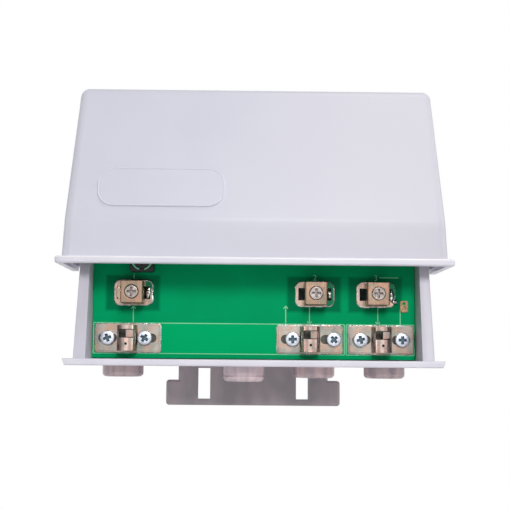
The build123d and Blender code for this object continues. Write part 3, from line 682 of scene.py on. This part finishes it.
def cross_cutter(length, height, top, width_share, depth_share, taper):
    """A tapered cross that cuts a screw's recess. Its width is a share of its length."""
    arm, half = length / 2, length * width_share / 2
    depth = height * depth_share
    quarter = [(arm, -half), (arm, half), (half, half)]
    outline = []
    for turn in range(4):
        cos, sin = round(math.cos(turn * math.pi / 2)), round(math.sin(turn * math.pi / 2))
        outline += [(x * cos - y * sin, x * sin + y * cos) for x, y in quarter]
    form = bmesh.new()
    close_prism(form, [(x, y, top + depth) for x, y in outline],
                [(x * taper, y * taper, top - depth) for x, y in outline])
    return plain_mesh("cross", form)


def cut_by(mesh, cutter_mesh):
    """A mesh with another taken out of it."""
    body = bpy.data.objects.new("body", mesh)
    cutter = bpy.data.objects.new("cutter", cutter_mesh)
    for item in (body, cutter):
        bpy.context.scene.collection.objects.link(item)
    cut = body.modifiers.new("cut", "BOOLEAN")
    cut.object = cutter
    cut.solver = "EXACT"
    ready = body.evaluated_get(bpy.context.evaluated_depsgraph_get())
    result = bpy.data.meshes.new_from_object(ready)
    for item in (body, cutter):
        bpy.data.objects.remove(item)
    print(mesh.name, "faces after the cut:", len(result.polygons))
    return result


# %% Screws
crown_shares = ((0, 1), (0.5, 0.99), (0.76, 0.965), (0.89, 0.9), (0.96, 0.76), (0.992, 0.5), (1, 0.2))
seat_share = 0.985
screw_sides = 36
# Each cross: its width to its length, its depth to the head's height, and how far it tapers.
pan_cross = (0.36, 0.62, 0.6)
flush_cross = (0.28, 0.8, 0.45)
flush_edge = 0.1 * mm
thread_pitch = 0.5 * mm
thread_depth = 0.22 * mm
facing_front_least = 0.86
recess_floor = 0.2
crown_foot = 0.8


def shank_profile(diameter, length):
    """A threaded shank below the seat, as rings one pitch apart."""
    crest, root = diameter / 2, diameter / 2 - thread_depth
    turns = int(length / thread_pitch) - 1
    points = [(crest, 0)]
    for turn in range(turns):
        depth = -thread_pitch * (turn + 0.5)
        points += [(root, depth), (crest, depth - thread_pitch / 2)]
    return points + [(root, -length), (0, -length)]


def pan_screw(head, height, diameter, length, recess):
    """One pan-head screw, its seat at height 0."""
    profile = [(share * head / 2, level * height) for share, level in crown_shares]
    profile += [(head / 2 * seat_share, 0)] + shank_profile(diameter, length)
    cutter = cross_cutter(recess, height, height, *pan_cross)
    return bpy.data.objects.new("pan_screw", cut_by(lathe("pan_screw", profile, screw_sides), cutter))


def flush_screw(head, height, diameter, length, recess):
    """One countersunk screw, its face at height 0."""
    profile = [(0, 0), (head / 2 - flush_edge, 0), (head / 2, -flush_edge), (diameter / 2, -height)]
    profile += [(radius, level - height) for radius, level in shank_profile(diameter, length - height)[1:]]
    cutter = cross_cutter(recess, height, 0, *flush_cross)
    return bpy.data.objects.new("flush_screw", cut_by(lathe("flush_screw", profile, screw_sides), cutter))


def darken_recess(piece, places, reach, head_height):
    """Gives the faces inside each head's recess a dull, dark finish: painted shade in the recess."""
    piece.data.materials.append(recess_painted_shade)
    for face in piece.data.polygons:
        nearest = min(places, key=lambda place: (face.center - Vector(place)).length)
        offset = face.center - Vector(nearest)
        height = -offset.y / head_height
        on_crown = -face.normal.y > facing_front_least and height > crown_foot
        if math.hypot(offset.x, offset.z) < reach and height > recess_floor and not on_crown:
            face.material_index = 1


strap_head = 2.0 * mm
strap_reach = 2.1 * mm
board_head = 1.6 * mm
board_reach = 1.5 * mm
strap_screw = pan_screw(head=5.7 * mm, height=strap_head, diameter=3.0 * mm, length=8.0 * mm,
                        recess=3.9 * mm)
board_screw = pan_screw(head=4.6 * mm, height=board_head, diameter=2.2 * mm, length=8.0 * mm,
                        recess=2.8 * mm)
bracket_screw = flush_screw(head=6.0 * mm, height=1.7 * mm, diameter=3.0 * mm, length=10.0 * mm,
                            recess=3.2 * mm)


for number in cables:
    node = f"strap_screws_{number}"
    places = middles(node, lambda low, high: low.y + strap_head)
    piece = set_copies(f"{node}_finished", strap_screw, places, screw_finish, spread=0.75, seed=number + 3)
    darken_recess(piece, places, strap_reach, strap_head)
    settle(piece, body_of(node), "screw_steel", node)
places = middles("board_screws", lambda low, high: low.y + board_head)
piece = set_copies("board_screws_finished", board_screw, places, screw_finish, spread=0.8, seed=2)
darken_recess(piece, places, board_reach, board_head)
settle(piece, "root", "screw_steel", "board_screws")
places = middles("bracket_screws", lambda low, high: high.y)
piece = set_copies("bracket_screws_finished", bracket_screw, places, screw_finish, facing_back,
                   spread=0.8, seed=5)
settle(piece, "root", "screw_steel", "bracket_screws")

# %% [markdown]
# The glands and the blanking plug are moulded rubber, round, with a soft lower edge, a neck that the
# flange grips and a collar above it. They are lathed from one profile whose sizes come from the
# imported pieces. The rubber's gloss breaks into upright streaks, so its colour noise is stretched
# upright: its two tones are partly the rubber's own and partly painted streaks of sheen.

# %% Glands
gland_edge = 1.5 * mm
neck_radius = 5.8 * mm
collar_radius = 6.7 * mm
collar_height = 0.9 * mm
bore_radius = 3.3 * mm
bore_edge = 0.5 * mm
bead_height = 1.7 * mm
groove_depth = 0.35 * mm
groove_foot = 1.6
gland_sides = 72
gland_crease = math.radians(40)
flange_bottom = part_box("base_housing")[0].z


def gland_outside(low, radius, groove):
    """The outer profile of a gland, from its rounded foot to its collar's top."""
    points = arc(gland_edge, (radius - gland_edge, low + gland_edge), -90, 0, 6)
    if groove:
        level = low + bead_height
        inside = radius - groove_depth
        points += [(radius, level), (inside, level + groove_depth / 2), (inside, level + groove_depth),
                   (radius, level + groove_depth * groove_foot)]
    seat = flange_top - collar_height
    points += [(radius, flange_bottom), (neck_radius, flange_bottom), (neck_radius, seat)]
    points += [(collar_radius, seat), (collar_radius, flange_top - bore_edge / 2)]
    return points + [(collar_radius - bore_edge / 2, flange_top)]


def make_gland(node, closed):
    """A gland or the closed plug, lathed in its place."""
    low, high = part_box(node)
    centre = ((low.x + high.x) / 2, (low.y + high.y) / 2)
    profile = gland_outside(low.z, (high.x - low.x) / 2, closed)
    if closed:
        profile = [(0, low.z)] + profile + [(0, flange_top)]
    else:
        profile += [(bore_radius + bore_edge, flange_top), (bore_radius, flange_top - bore_edge)]
        profile += [(bore_radius, low.z + bore_edge), (bore_radius + bore_edge, low.z)]
    mesh = lathe(node, profile, gland_sides, centre)
    shade(mesh, gland_crease)
    finish = plug_finish if closed else gland_finish
    settle(add_piece(f"{node}_finished", mesh, finish), "root", "gland_rubber", node)


for number in cables:
    make_gland(f"cable_gland_{number}", False)
make_gland("blanking_plug", True)

# %% [markdown]
# The board's print is pale green ink on the lacquer, a few hundredths of a millimetre thick. It is
# made as thin strips that stand on the board's face: the two long lines, the frames round the
# clamps, and an arrow over each cable. Lettering is left off, and plain numbers mark the terminals.

# %% Print on the board
ink_height = 0.04 * mm
ink_width = 0.34 * mm
arrow_barb = 1.1 * mm
barb_spread = 0.75
line_gap = 0.35 * mm
arrow_shifts = (0, -2 * mm, 0.7 * mm)
supply_arrow_inset = 3.3 * mm
supply_arrow_length = 7 * mm
stem_inset = 5 * mm
stem_length = 6 * mm
bar_rise = 2 * mm
bar_start = 1.2 * mm
bar_past = 1.5 * mm
number_size = 3.2 * mm
number_rise = 0.75 * mm
board_low, board_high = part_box("circuit_board")


def ink_strip(form, start, end, width=ink_width):
    """A thin strip of ink between two (X, Z) places on the board's face."""
    run = Vector((end[0] - start[0], 0, end[1] - start[1]))
    side = run.cross(Vector((0, 1, 0))).normalized() * width / 2
    loops = []
    for level in (board_front, board_front - ink_height):
        base = [Vector((x, level, z)) for x, z in (start, end)]
        loops.append([base[0] - side, base[0] + side, base[1] + side, base[1] - side])
    close_prism(form, *loops)


def ink_arrow(form, x, tail, head):
    """An upright arrow with its two barbs at the head."""
    ink_strip(form, (x, tail), (x, head))
    back = head - math.copysign(arrow_barb, head - tail)
    for side in (-1, 1):
        ink_strip(form, (x, head), (x + side * arrow_barb * barb_spread, back))


def make_print():
    """The lines and arrows of the print."""
    form = bmesh.new()
    plates = [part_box(f"ground_plate_{number}") for number in cables]
    frames = [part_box(f"terminal_frame_{number}") for number in cables]
    lower, upper = plates[0][0].z - line_gap, plates[0][1].z + line_gap
    left, right = board_low.x + line_gap, board_high.x - line_gap
    gap = (plates[1][1].x + plates[2][0].x) / 2
    for z in (lower, upper):
        ink_strip(form, (left, z), (gap - line_gap, z))
        ink_strip(form, (gap + line_gap, z), (right, z))
    for x in (left, gap - line_gap, gap + line_gap, right):
        ink_strip(form, (x, lower), (x, upper))
    middles = [(low.x + high.x) / 2 for low, high in frames]
    foot = frames[0][0].z - line_gap
    runs = ((upper, foot), (foot, upper), (foot, upper))
    for middle, shift, (tail, head) in zip(middles, arrow_shifts, runs):
        ink_arrow(form, middle + shift, tail, head)
    ink_arrow(form, plates[1][0].x + supply_arrow_inset, upper, upper + supply_arrow_length)
    stem = plates[2][1].x - stem_inset
    ink_strip(form, (stem, upper), (stem, upper + stem_length))
    level = frames[2][1].z + bar_rise
    ink_strip(form, (middles[2] + bar_start, level), (frames[2][1].x + bar_past, level))
    settle(add_piece("board_print", plain_mesh("board_print", form), ink_finish), "root", "board_laminate")


def make_number(number):
    """A plain number above a terminal, made a mesh before it is placed."""
    curve = bpy.data.curves.new(f"number_{number}", "FONT")
    curve.body = str(number)
    curve.size = number_size
    curve.extrude = ink_height / 2
    curve.align_x = "CENTER"
    holder = bpy.data.objects.new("number", curve)
    bpy.context.scene.collection.objects.link(holder)
    mesh = bpy.data.meshes.new_from_object(holder.evaluated_get(bpy.context.evaluated_depsgraph_get()))
    bpy.data.objects.remove(holder)
    low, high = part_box(f"terminal_frame_{number}")
    place = Vector(((low.x + high.x) / 2, board_front - ink_height / 2, high.z + number_rise))
    mesh.transform(Matrix.Translation(place) @ Matrix.Rotation(math.pi / 2, 4, "X"))
    settle(add_piece(f"terminal_number_{number}", mesh, ink_finish), "root", "board_laminate")


make_print()
for number in cables:
    make_number(number)

# %% [markdown]
# Solder creeps up round every part that is soldered flat to the board and sets as an uneven bead.
# A second Geometry Nodes tree follows the part's outline: it divides the line evenly, lets a noise
# with a fixed seed swell and thin the radius, and sweeps a small circle along it.

# %% Bead tree
bead_sides = 10
noise_range = (0.35, 0.65)
bead_tree = build_tree(
    "bead along edges",
    {"Step": "Float", "Thinnest": "Float", "Thickest": "Float", "Lumps": "Float", "Seed": "Float"},
    {"line": "GeometryNodeMeshToCurve", "even": "GeometryNodeResampleCurve",
     "place": "GeometryNodeInputPosition", "lumps": "ShaderNodeTexNoise", "spread": "ShaderNodeMapRange",
     "circle": "GeometryNodeCurvePrimitiveCircle", "sweep": "GeometryNodeCurveToMesh"},
    [("even", "mode", "LENGTH"), ("lumps", "noise_dimensions", "4D")],
    [("circle", "Resolution", bead_sides), ("circle", "Radius", 1), ("spread", "From Min", noise_range[0]),
     ("spread", "From Max", noise_range[1]), ("sweep", "Fill Caps", True)],
    [("given", "Geometry", "line", "Mesh"), ("line", "Curve", "even", "Curve"),
     ("given", "Step", "even", "Length"), ("place", "Position", "lumps", "Vector"),
     ("given", "Lumps", "lumps", "Scale"), ("given", "Seed", "lumps", "W"),
     ("lumps", "Fac", "spread", "Value"), ("given", "Thinnest", "spread", "To Min"),
     ("given", "Thickest", "spread", "To Max"), ("even", "Curve", "sweep", "Curve"),
     ("spread", "Result", "sweep", "Scale"), ("circle", "Curve", "sweep", "Profile Curve")],
    ("sweep", "Mesh"))

# %% Solder beads and lumps
bead_step = 0.45 * mm
bead_lumps = 230.0
frame_bead = (2.2 * mm, 0.16 * mm, 0.8 * mm)
plate_bead = (0.8 * mm, 0.16 * mm, 0.42 * mm)
solder_crease = math.radians(80)
slot_inset = 1.55 * mm
lump_swell = 0.45
lump_rate = 900.0
# Each lump: its terminal, the side of the frame, its shift along X and Z, and its half sizes, in mm.
lumps = [(1, 1, (0, 0), (0.95, 0.6, 2.3)), (1, -1, (0, 0), (1.1, 0.12, 2.7)), (2, 1, (0, 0), (0.9, 0.5, 1.6)),
         (3, 1, (0, 0), (1.1, 0.8, 2.4)), (3, 1, (1.3, -2.6), (1.3, 0.6, 0.9))]


def closed_line(points):
    """A mesh of edges round a closed row of points."""
    mesh = bpy.data.meshes.new("closed_line")
    mesh.from_pydata(points, [(n, (n + 1) % len(points)) for n in range(len(points))], [])
    return mesh


def round_outline(low, high, corner, level):
    """The points round a rectangle with round corners, at one depth."""
    points = []
    centres = ((high.x - corner, high.z - corner), (low.x + corner, high.z - corner),
               (low.x + corner, low.z + corner), (high.x - corner, low.z + corner))
    for turn, centre in enumerate(centres):
        points += arc(corner, centre, 90 * turn, 90 * turn + 90, 5)
    return [(x, level, z) for x, z in points]


def make_bead(name, node, corner, thinnest, thickest, seed):
    """A bead of solder round a piece that is soldered flat to the board."""
    low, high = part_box(node)
    values = {"Step": bead_step, "Thinnest": thinnest, "Thickest": thickest, "Lumps": bead_lumps,
              "Seed": float(seed)}
    line = closed_line(round_outline(low, high, corner, board_front))
    piece = grow(name, line, bead_tree, values, solder_finish)
    shade(piece.data, solder_crease)
    settle(piece, "root", "tinned_sheet")


def make_lump(number, size, place, finish):
    """A lump that has filled a slot of a terminal's frame, smooth or swollen."""
    form = bmesh.new()
    bmesh.ops.create_icosphere(form, subdivisions=4, radius=1)
    for vertex in form.verts:
        shape = Vector((vertex.co.x * size[0], vertex.co.y * size[1], vertex.co.z * size[2])) + place
        swell = 1 + lump_swell * swelling.noise(shape * lump_rate + Vector((number, 0, 0)))
        vertex.co = place + (shape - place) * swell
    mesh = plain_mesh("solder_lump", form)
    shade(mesh, solder_crease)
    settle(add_piece(f"solder_lump_{number}", mesh, finish), "root", "tinned_sheet")


for number in cables:
    make_bead(f"frame_solder_{number}", f"terminal_frame_{number}", *frame_bead, number)
    make_bead(f"plate_solder_{number}", f"ground_plate_{number}", *plate_bead, number + 4)
for count, (number, side, shift, size) in enumerate(lumps, 1):
    low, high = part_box(f"terminal_frame_{number}")
    middle = (low + high) / 2
    reach = (high.x - low.x) / 2 - slot_inset
    place = Vector((middle.x + side * reach + shift[0] * mm, low.y, middle.z + shift[1] * mm))
    make_lump(count, [part * mm for part in size], place, solder_finish if side > 0 else frame_finish)
print("lumps in the frames' slots:", len(lumps))

# %% [markdown]
# A thin, dull brown sheet on the plate stands for the shade under a strap: painted shade. It shows
# through the window of the arch and through the slots of the feet.

# %% Painted shade under the arches
shade_sheet_margin = 0.5 * mm


def make_residue(number):
    """A thin dark sheet of painted shade on the plate, which shows through the strap's window and slots."""
    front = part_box(f"ground_plate_{number}")[0].y
    low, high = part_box(f"braid_strap_{number}")
    middle = (low.x + high.x) / 2
    form = bmesh.new()
    width = high.x - low.x - 2 * shade_sheet_margin
    # The printed width is that of the sheet of painted shade.
    print("sheet of painted shade", number, "is", round(width / mm, 1), "mm wide")
    ink_strip(form, (middle, low.z + shade_sheet_margin), (middle, high.z - shade_sheet_margin), width)
    bmesh.ops.translate(form, verts=form.verts, vec=(0, front - board_front, 0))
    film = add_piece(f"flux_residue_{number}", plain_mesh("painted_shade_sheet", form), strap_shade_finish)
    settle(film, "root", "black_plastic")


for number in cables:
    make_residue(number)

# %% [markdown]
# The hood's plaque has a moulded rim, a fine round ridge on its edge that catches the light above and
# throws a line of shade below. Its finish is a little lighter than the hood's: a painted highlight.
# The same bead tree makes it, with an even radius, along the edges of the plaque's front face, which
# is found by its area among the faces that look forwards.

# %% Plaque rim
rim_radius = 0.24 * mm
rim_step = 0.8 * mm
plaque_area = (560 * mm * mm, 760 * mm * mm)


def make_plaque_rim():
    """A fine ridge along the edge of the hood's plaque."""
    hood, _ = joined_mesh("sliding_cover")
    faces = [f for f in hood.polygons if f.normal.y < -0.9 and plaque_area[0] < f.area < plaque_area[1]]
    corners = [hood.vertices[n].co.copy() for n in faces[0].vertices]
    print("plaque faces found:", len(faces), "with corners:", len(corners))
    bpy.data.meshes.remove(hood)
    values = {"Step": rim_step, "Thinnest": rim_radius, "Thickest": rim_radius, "Lumps": 1.0, "Seed": 0.0}
    piece = grow("plaque_rim", closed_line(corners), bead_tree, values, plaque_rim_painted_highlight)
    settle(piece, body_of("sliding_cover"), "hood_plastic")


make_plaque_rim()

# %% [markdown]
# The parts under the hood show when it is slid right up. Chips have tinned ends on a dark body, the
# transistors have three short legs, the capacitor is a can on a black foot, and the choke is wound
# with enamelled wire. The winding is a spiral curve swept with a circle, made by a third tree.

# %% Chips and transistors
def rounded_block(name, width, depth, height, radius, middle=(0, 0, 0)):
    """A block with softened edges, standing on height 0, as a pattern for copies."""
    form = bmesh.new()
    bmesh.ops.create_cube(form, size=1)
    bmesh.ops.scale(form, verts=form.verts, vec=(width, depth, height))
    bmesh.ops.translate(form, verts=form.verts, vec=(middle[0], middle[1], middle[2] + height / 2))
    bmesh.ops.bevel(form, geom=form.edges[:], offset=radius, segments=bevel_steps, profile=0.5,
                    affect="EDGES")
    return plain_mesh(name, form)


def joined(name, meshes):
    """One pattern object from several meshes."""
    form = bmesh.new()
    for mesh in meshes:
        form.from_mesh(mesh)
    return bpy.data.objects.new(name, plain_mesh(name, form))


def set_parts(node, bodies, body_mesh, ends, end_meshes):
    """Dark bodies in the places of a node's solids, and their tinned ends or legs.

    The ends' pattern has their plain name, so Blender adds .001 to the name of their piece.
    """
    places = middles(node, lambda low, high: board_front)
    dark = set_copies(bodies, joined(f"{bodies}_pattern", [body_mesh]), places, black_finish)
    settle(dark, "root", "black_plastic", node)
    settle(set_copies(ends, joined(ends, end_meshes), places, tin_finish), "root", "tinned_sheet")


def first_size(node):
    """The size of a node's first solid."""
    low, high = solid_boxes(node)[0]
    return high - low


chip_end = 0.45 * mm
chip_body_share = (0.98, 0.9)
chip_body_edge = 0.05 * mm
chip_end_edge = 0.08 * mm
size = first_size("chip_components")
body = rounded_block("body", size.x - chip_end, size.z * chip_body_share[0], size.y * chip_body_share[1],
                     chip_body_edge)
reach = (size.x - chip_end) / 2
ends = [rounded_block("end", chip_end, size.z, size.y, chip_end_edge, (x, 0, 0)) for x in (-reach, reach)]
set_parts("chip_components", "chip_bodies", body, "chip_ends", ends)

leg_size = (0.5 * mm, 0.8 * mm, 0.3 * mm)
leg_overhang = 0.6 * mm
leg_edge = 0.06 * mm
transistor_edge = 0.12 * mm
size = first_size("transistors")
body = rounded_block("body", size.x, size.z - 2 * leg_overhang, size.y, transistor_edge)
side, reach = (size.x - leg_size[0]) / 2, (size.z - leg_size[1]) / 2
leg_places = ((-side, -reach), (side, -reach), (0, reach))
legs = [rounded_block("leg", *leg_size, leg_edge, (x, y, 0)) for x, y in leg_places]
set_parts("transistors", "transistor_bodies", body, "transistor_legs", legs)


# %% Choke winding
turn_steps = 28
wire_sides = 8
winding_tree = build_tree(
    "winding",
    {"Turns": "Float", "Radius": "Float", "Height": "Float", "Wire": "Float"},
    {"spiral": "GeometryNodeCurveSpiral", "circle": "GeometryNodeCurvePrimitiveCircle",
     "sweep": "GeometryNodeCurveToMesh"},
    [],
    [("spiral", "Resolution", turn_steps), ("circle", "Resolution", wire_sides),
     ("sweep", "Fill Caps", True)],
    [("given", "Turns", "spiral", "Rotations"), ("given", "Radius", "spiral", "Start Radius"),
     ("given", "Radius", "spiral", "End Radius"), ("given", "Height", "spiral", "Height"),
     ("given", "Wire", "circle", "Radius"), ("spiral", "Curve", "sweep", "Curve"),
     ("circle", "Curve", "sweep", "Profile Curve")],
    ("sweep", "Mesh"))

choke_edge = 0.15 * mm
wire_radius = 0.22 * mm
winding_turns = 7.5
core_radius = 2.7 * mm
flange_rise = 1.0 * mm
low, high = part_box("supply_choke")
winding_height = high.y - low.y - 2 * (flange_rise + wire_radius)
values = {"Turns": winding_turns, "Radius": core_radius + wire_radius, "Height": winding_height,
          "Wire": wire_radius}
winding = grow("choke_winding", points_mesh([(0, 0, 0)]), winding_tree, values, copper_finish)
upright = Matrix.Translation(((low.x + high.x) / 2, high.y - flange_rise - wire_radius, (low.z + high.z) / 2))
winding.data.transform(upright @ Matrix.Rotation(math.pi / 2, 4, "X"))
settle(winding, "root", "copper")
print("winding's height in mm:", round(winding_height / mm, 2))
round_edges("supply_choke", ferrite_finish, "ferrite", choke_edge)

# %% [markdown]
# Some pieces change their finish along a line: an arch is painted brighter than the sheet beside it
# as a painted highlight, the hood's lip and the housing's flange are painted lighter as painted
# light, with a painted highlight on the lip's upper rounding, the recess of a terminal's screw is
# painted darker as painted shade, and a can stands on a black foot. A second finish goes to the faces
# whose middle passes a test, so the mesh and its outline stay as they are.

# %% Two finishes on one piece
arch_depth = 2.6 * mm
recess_start = 0.1 * mm
recess_radius = 1.4 * mm
lip_height = 2.7 * mm
highlight_band_height = 0.75 * mm
can_edge = 0.15 * mm
foot_depth = 0.95 * mm
tab_height = 1.25 * mm


def paint_part(node, material, is_there):
    """Gives a finished piece's faces a second finish wherever a test on their middle holds."""
    mesh = bpy.data.objects[f"{node}_finished"].data
    index = len(mesh.materials)
    mesh.materials.append(material)
    painted = [face for face in mesh.polygons if is_there(face.center)]
    for face in painted:
        face.material_index = index
    print(node, "faces in another finish:", len(painted))


def paint_recess(number):
    """A darker, duller finish in the recess of a terminal's screw: painted shade."""
    low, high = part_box(f"terminal_screw_{number}")
    middle = (low + high) / 2

    def in_recess(place):
        out = math.hypot(place.x - middle.x, place.z - middle.z)
        return place.y > low.y + recess_start and out < recess_radius

    paint_part(f"terminal_screw_{number}", terminal_recess_painted_shade, in_recess)


# Painted highlight: each strap's arch is painted brighter than its feet.
for number in cables:
    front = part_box(f"braid_strap_{number}")[0].y + arch_depth
    paint_part(f"braid_strap_{number}", arch_painted_highlight, lambda place: place.y < front)
for number in cables:
    paint_recess(number)
# Painted light: the hood below its lip's top and the housing's flange are painted lighter.
lip_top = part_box("sliding_cover")[0].z + lip_height
paint_part("sliding_cover", painted_light_rim, lambda place: place.z < lip_top)
# Painted highlight on the upper rounding of the lip.
paint_part("sliding_cover", painted_highlight_rim, lambda place: lip_top - highlight_band_height < place.z < lip_top)
paint_part("base_housing", painted_light_rim, lambda place: place.z < flange_top)
round_edges("electrolytic_capacitor", tin_finish, "tinned_sheet", can_edge)
foot_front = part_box("electrolytic_capacitor")[1].y - foot_depth
paint_part("electrolytic_capacitor", black_finish, lambda place: place.y > foot_front)
tab_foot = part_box("voltage_regulator")[1].z - tab_height
paint_part("voltage_regulator", tin_finish, lambda place: place.z > tab_foot)

# %% [markdown]
# The trimmer's body carries a printed scale, an arc on each side of the rotor's lower half. Each arc
# is a flat ring sector as thick as the board's ink, built from two arcs of points and closed round.

# %% Trimmer scale
scale_inner = 3.45 * mm
scale_outer = 4.0 * mm
scale_angles = ((195, 255), (285, 345))
scale_steps = 10


def make_trimmer_scale():
    """Two pale arcs on the trimmer's face, one each side of the rotor's lower half."""
    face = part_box("gain_trimmer_body")[0].y
    low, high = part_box("gain_trimmer_rotor")
    centre = ((low.x + high.x) / 2, (low.z + high.z) / 2)
    form = bmesh.new()
    for start, end in scale_angles:
        near = arc(scale_inner, centre, start, end, scale_steps)
        outline = near + arc(scale_outer, centre, start, end, scale_steps)[::-1]
        close_prism(form, [(x, face - ink_height, z) for x, z in outline], [(x, face, z) for x, z in outline])
    settle(add_piece("trimmer_scale", plain_mesh("trimmer_scale", form), ink_finish), "root", "black_plastic")


make_trimmer_scale()

# %% [markdown]
# The floor is a pale disc under the part, and the world is white to the camera and to glossy and
# transmitted rays, so metal reflects the same plain surroundings. Other rays see a softer world,
# which keeps the level of light plain. Five soft area lamps stand in front, above and at the sides.

# %% Floor, world and lamps
floor_level = -0.2
floor_radius = 0.62
floor_tone = linear(249, 249, 250)
floor_roughness = 0.9
floor_fade = (0.3, 0.98)
floor_glow = (0.5, 1)
world_level = 0.15
lamps = {
    "key": ((0.07, -0.7, 0.28), 0.22, 2.3),
    "top": ((0.24, -0.3, 0.75), 0.4, 1.6),
    "left": ((-0.8, -0.12, 0.15), 0.5, 1.0),
    "right": ((0.8, -0.12, 0.15), 0.5, 1.2),
    "front": ((-0.05, -0.8, -0.05), 0.6, 0.5),
}
lamp_aim = Vector((0, -20, 10)) * mm


def seen_directly(tree):
    """1 for rays that show the background itself: camera, glossy and transmission rays."""
    path = tree.nodes.new("ShaderNodeLightPath")
    value = path.outputs["Is Camera Ray"]
    for name in ("Is Glossy Ray", "Is Transmission Ray"):
        value = arithmetic(tree, "MAXIMUM", value, path.outputs[name])
    return value


def show_mixed(tree, share, first, second, output):
    """Shows two shaders, mixed by a share, at a tree's output."""
    mix = tree.nodes.new("ShaderNodeMixShader")
    for socket, source in zip(mix.inputs, (share, first.outputs[0], second.outputs[0])):
        tree.links.new(source, socket)
    tree.links.new(mix.outputs[0], tree.nodes[output].inputs["Surface"])


def make_world():
    """A world that lights softly and shows white."""
    world = bpy.data.worlds.new("surroundings")
    bpy.context.scene.world = world
    world.use_nodes = True
    tree = world.node_tree
    soft, white = tree.nodes["Background"], tree.nodes.new("ShaderNodeBackground")
    for light, strength in ((soft, world_level), (white, 1)):
        light.inputs["Color"].default_value = (1, 1, 1, 1)
        light.inputs["Strength"].default_value = strength
    show_mixed(tree, seen_directly(tree), soft, white, "World Output")


def make_floor():
    """A pale disc below the part, whose rim fades into the white."""
    form = bmesh.new()
    bmesh.ops.create_circle(form, cap_ends=True, segments=96, radius=floor_radius)
    bmesh.ops.translate(form, verts=form.verts, vec=(0, 0, floor_level))
    mesh = bpy.data.meshes.new("floor")
    form.to_mesh(mesh)
    form.free()
    material, tree, shader = start_finish("floor_paper")
    shader.inputs["Roughness"].default_value = floor_roughness
    shader.inputs["Base Color"].default_value = floor_tone
    place = tree.nodes.new("ShaderNodeTexCoord")
    length = tree.nodes.new("ShaderNodeVectorMath")
    length.operation = "LENGTH"
    tree.links.new(place.outputs["Object"], length.inputs[0])
    reaches = [part * floor_radius for part in floor_fade]
    fade = remap(tree, length.outputs["Value"], *floor_glow, *reaches)
    glow = tree.nodes.new("ShaderNodeEmission")
    share = arithmetic(tree, "MULTIPLY", fade, seen_directly(tree))
    show_mixed(tree, share, shader, glow, "Material Output")
    floor = add_piece("floor", mesh, material)


def make_lamps():
    """Soft area lamps aimed at the middle of the part."""
    for name, (place, size, power) in lamps.items():
        light = bpy.data.lights.new(name, "AREA")
        light.shape = "DISK"
        light.size = size
        light.energy = power
        lamp = bpy.data.objects.new(name, light)
        aim = (lamp_aim - Vector(place)).to_track_quat("-Z", "Y")
        lamp.matrix_world = Matrix.Translation(place) @ aim.to_matrix().to_4x4()
        bpy.context.scene.collection.objects.link(lamp)


make_world()
make_floor()
make_lamps()
bpy.context.scene.view_settings.view_transform = "Standard"
print("lamps:", sorted(lamps))
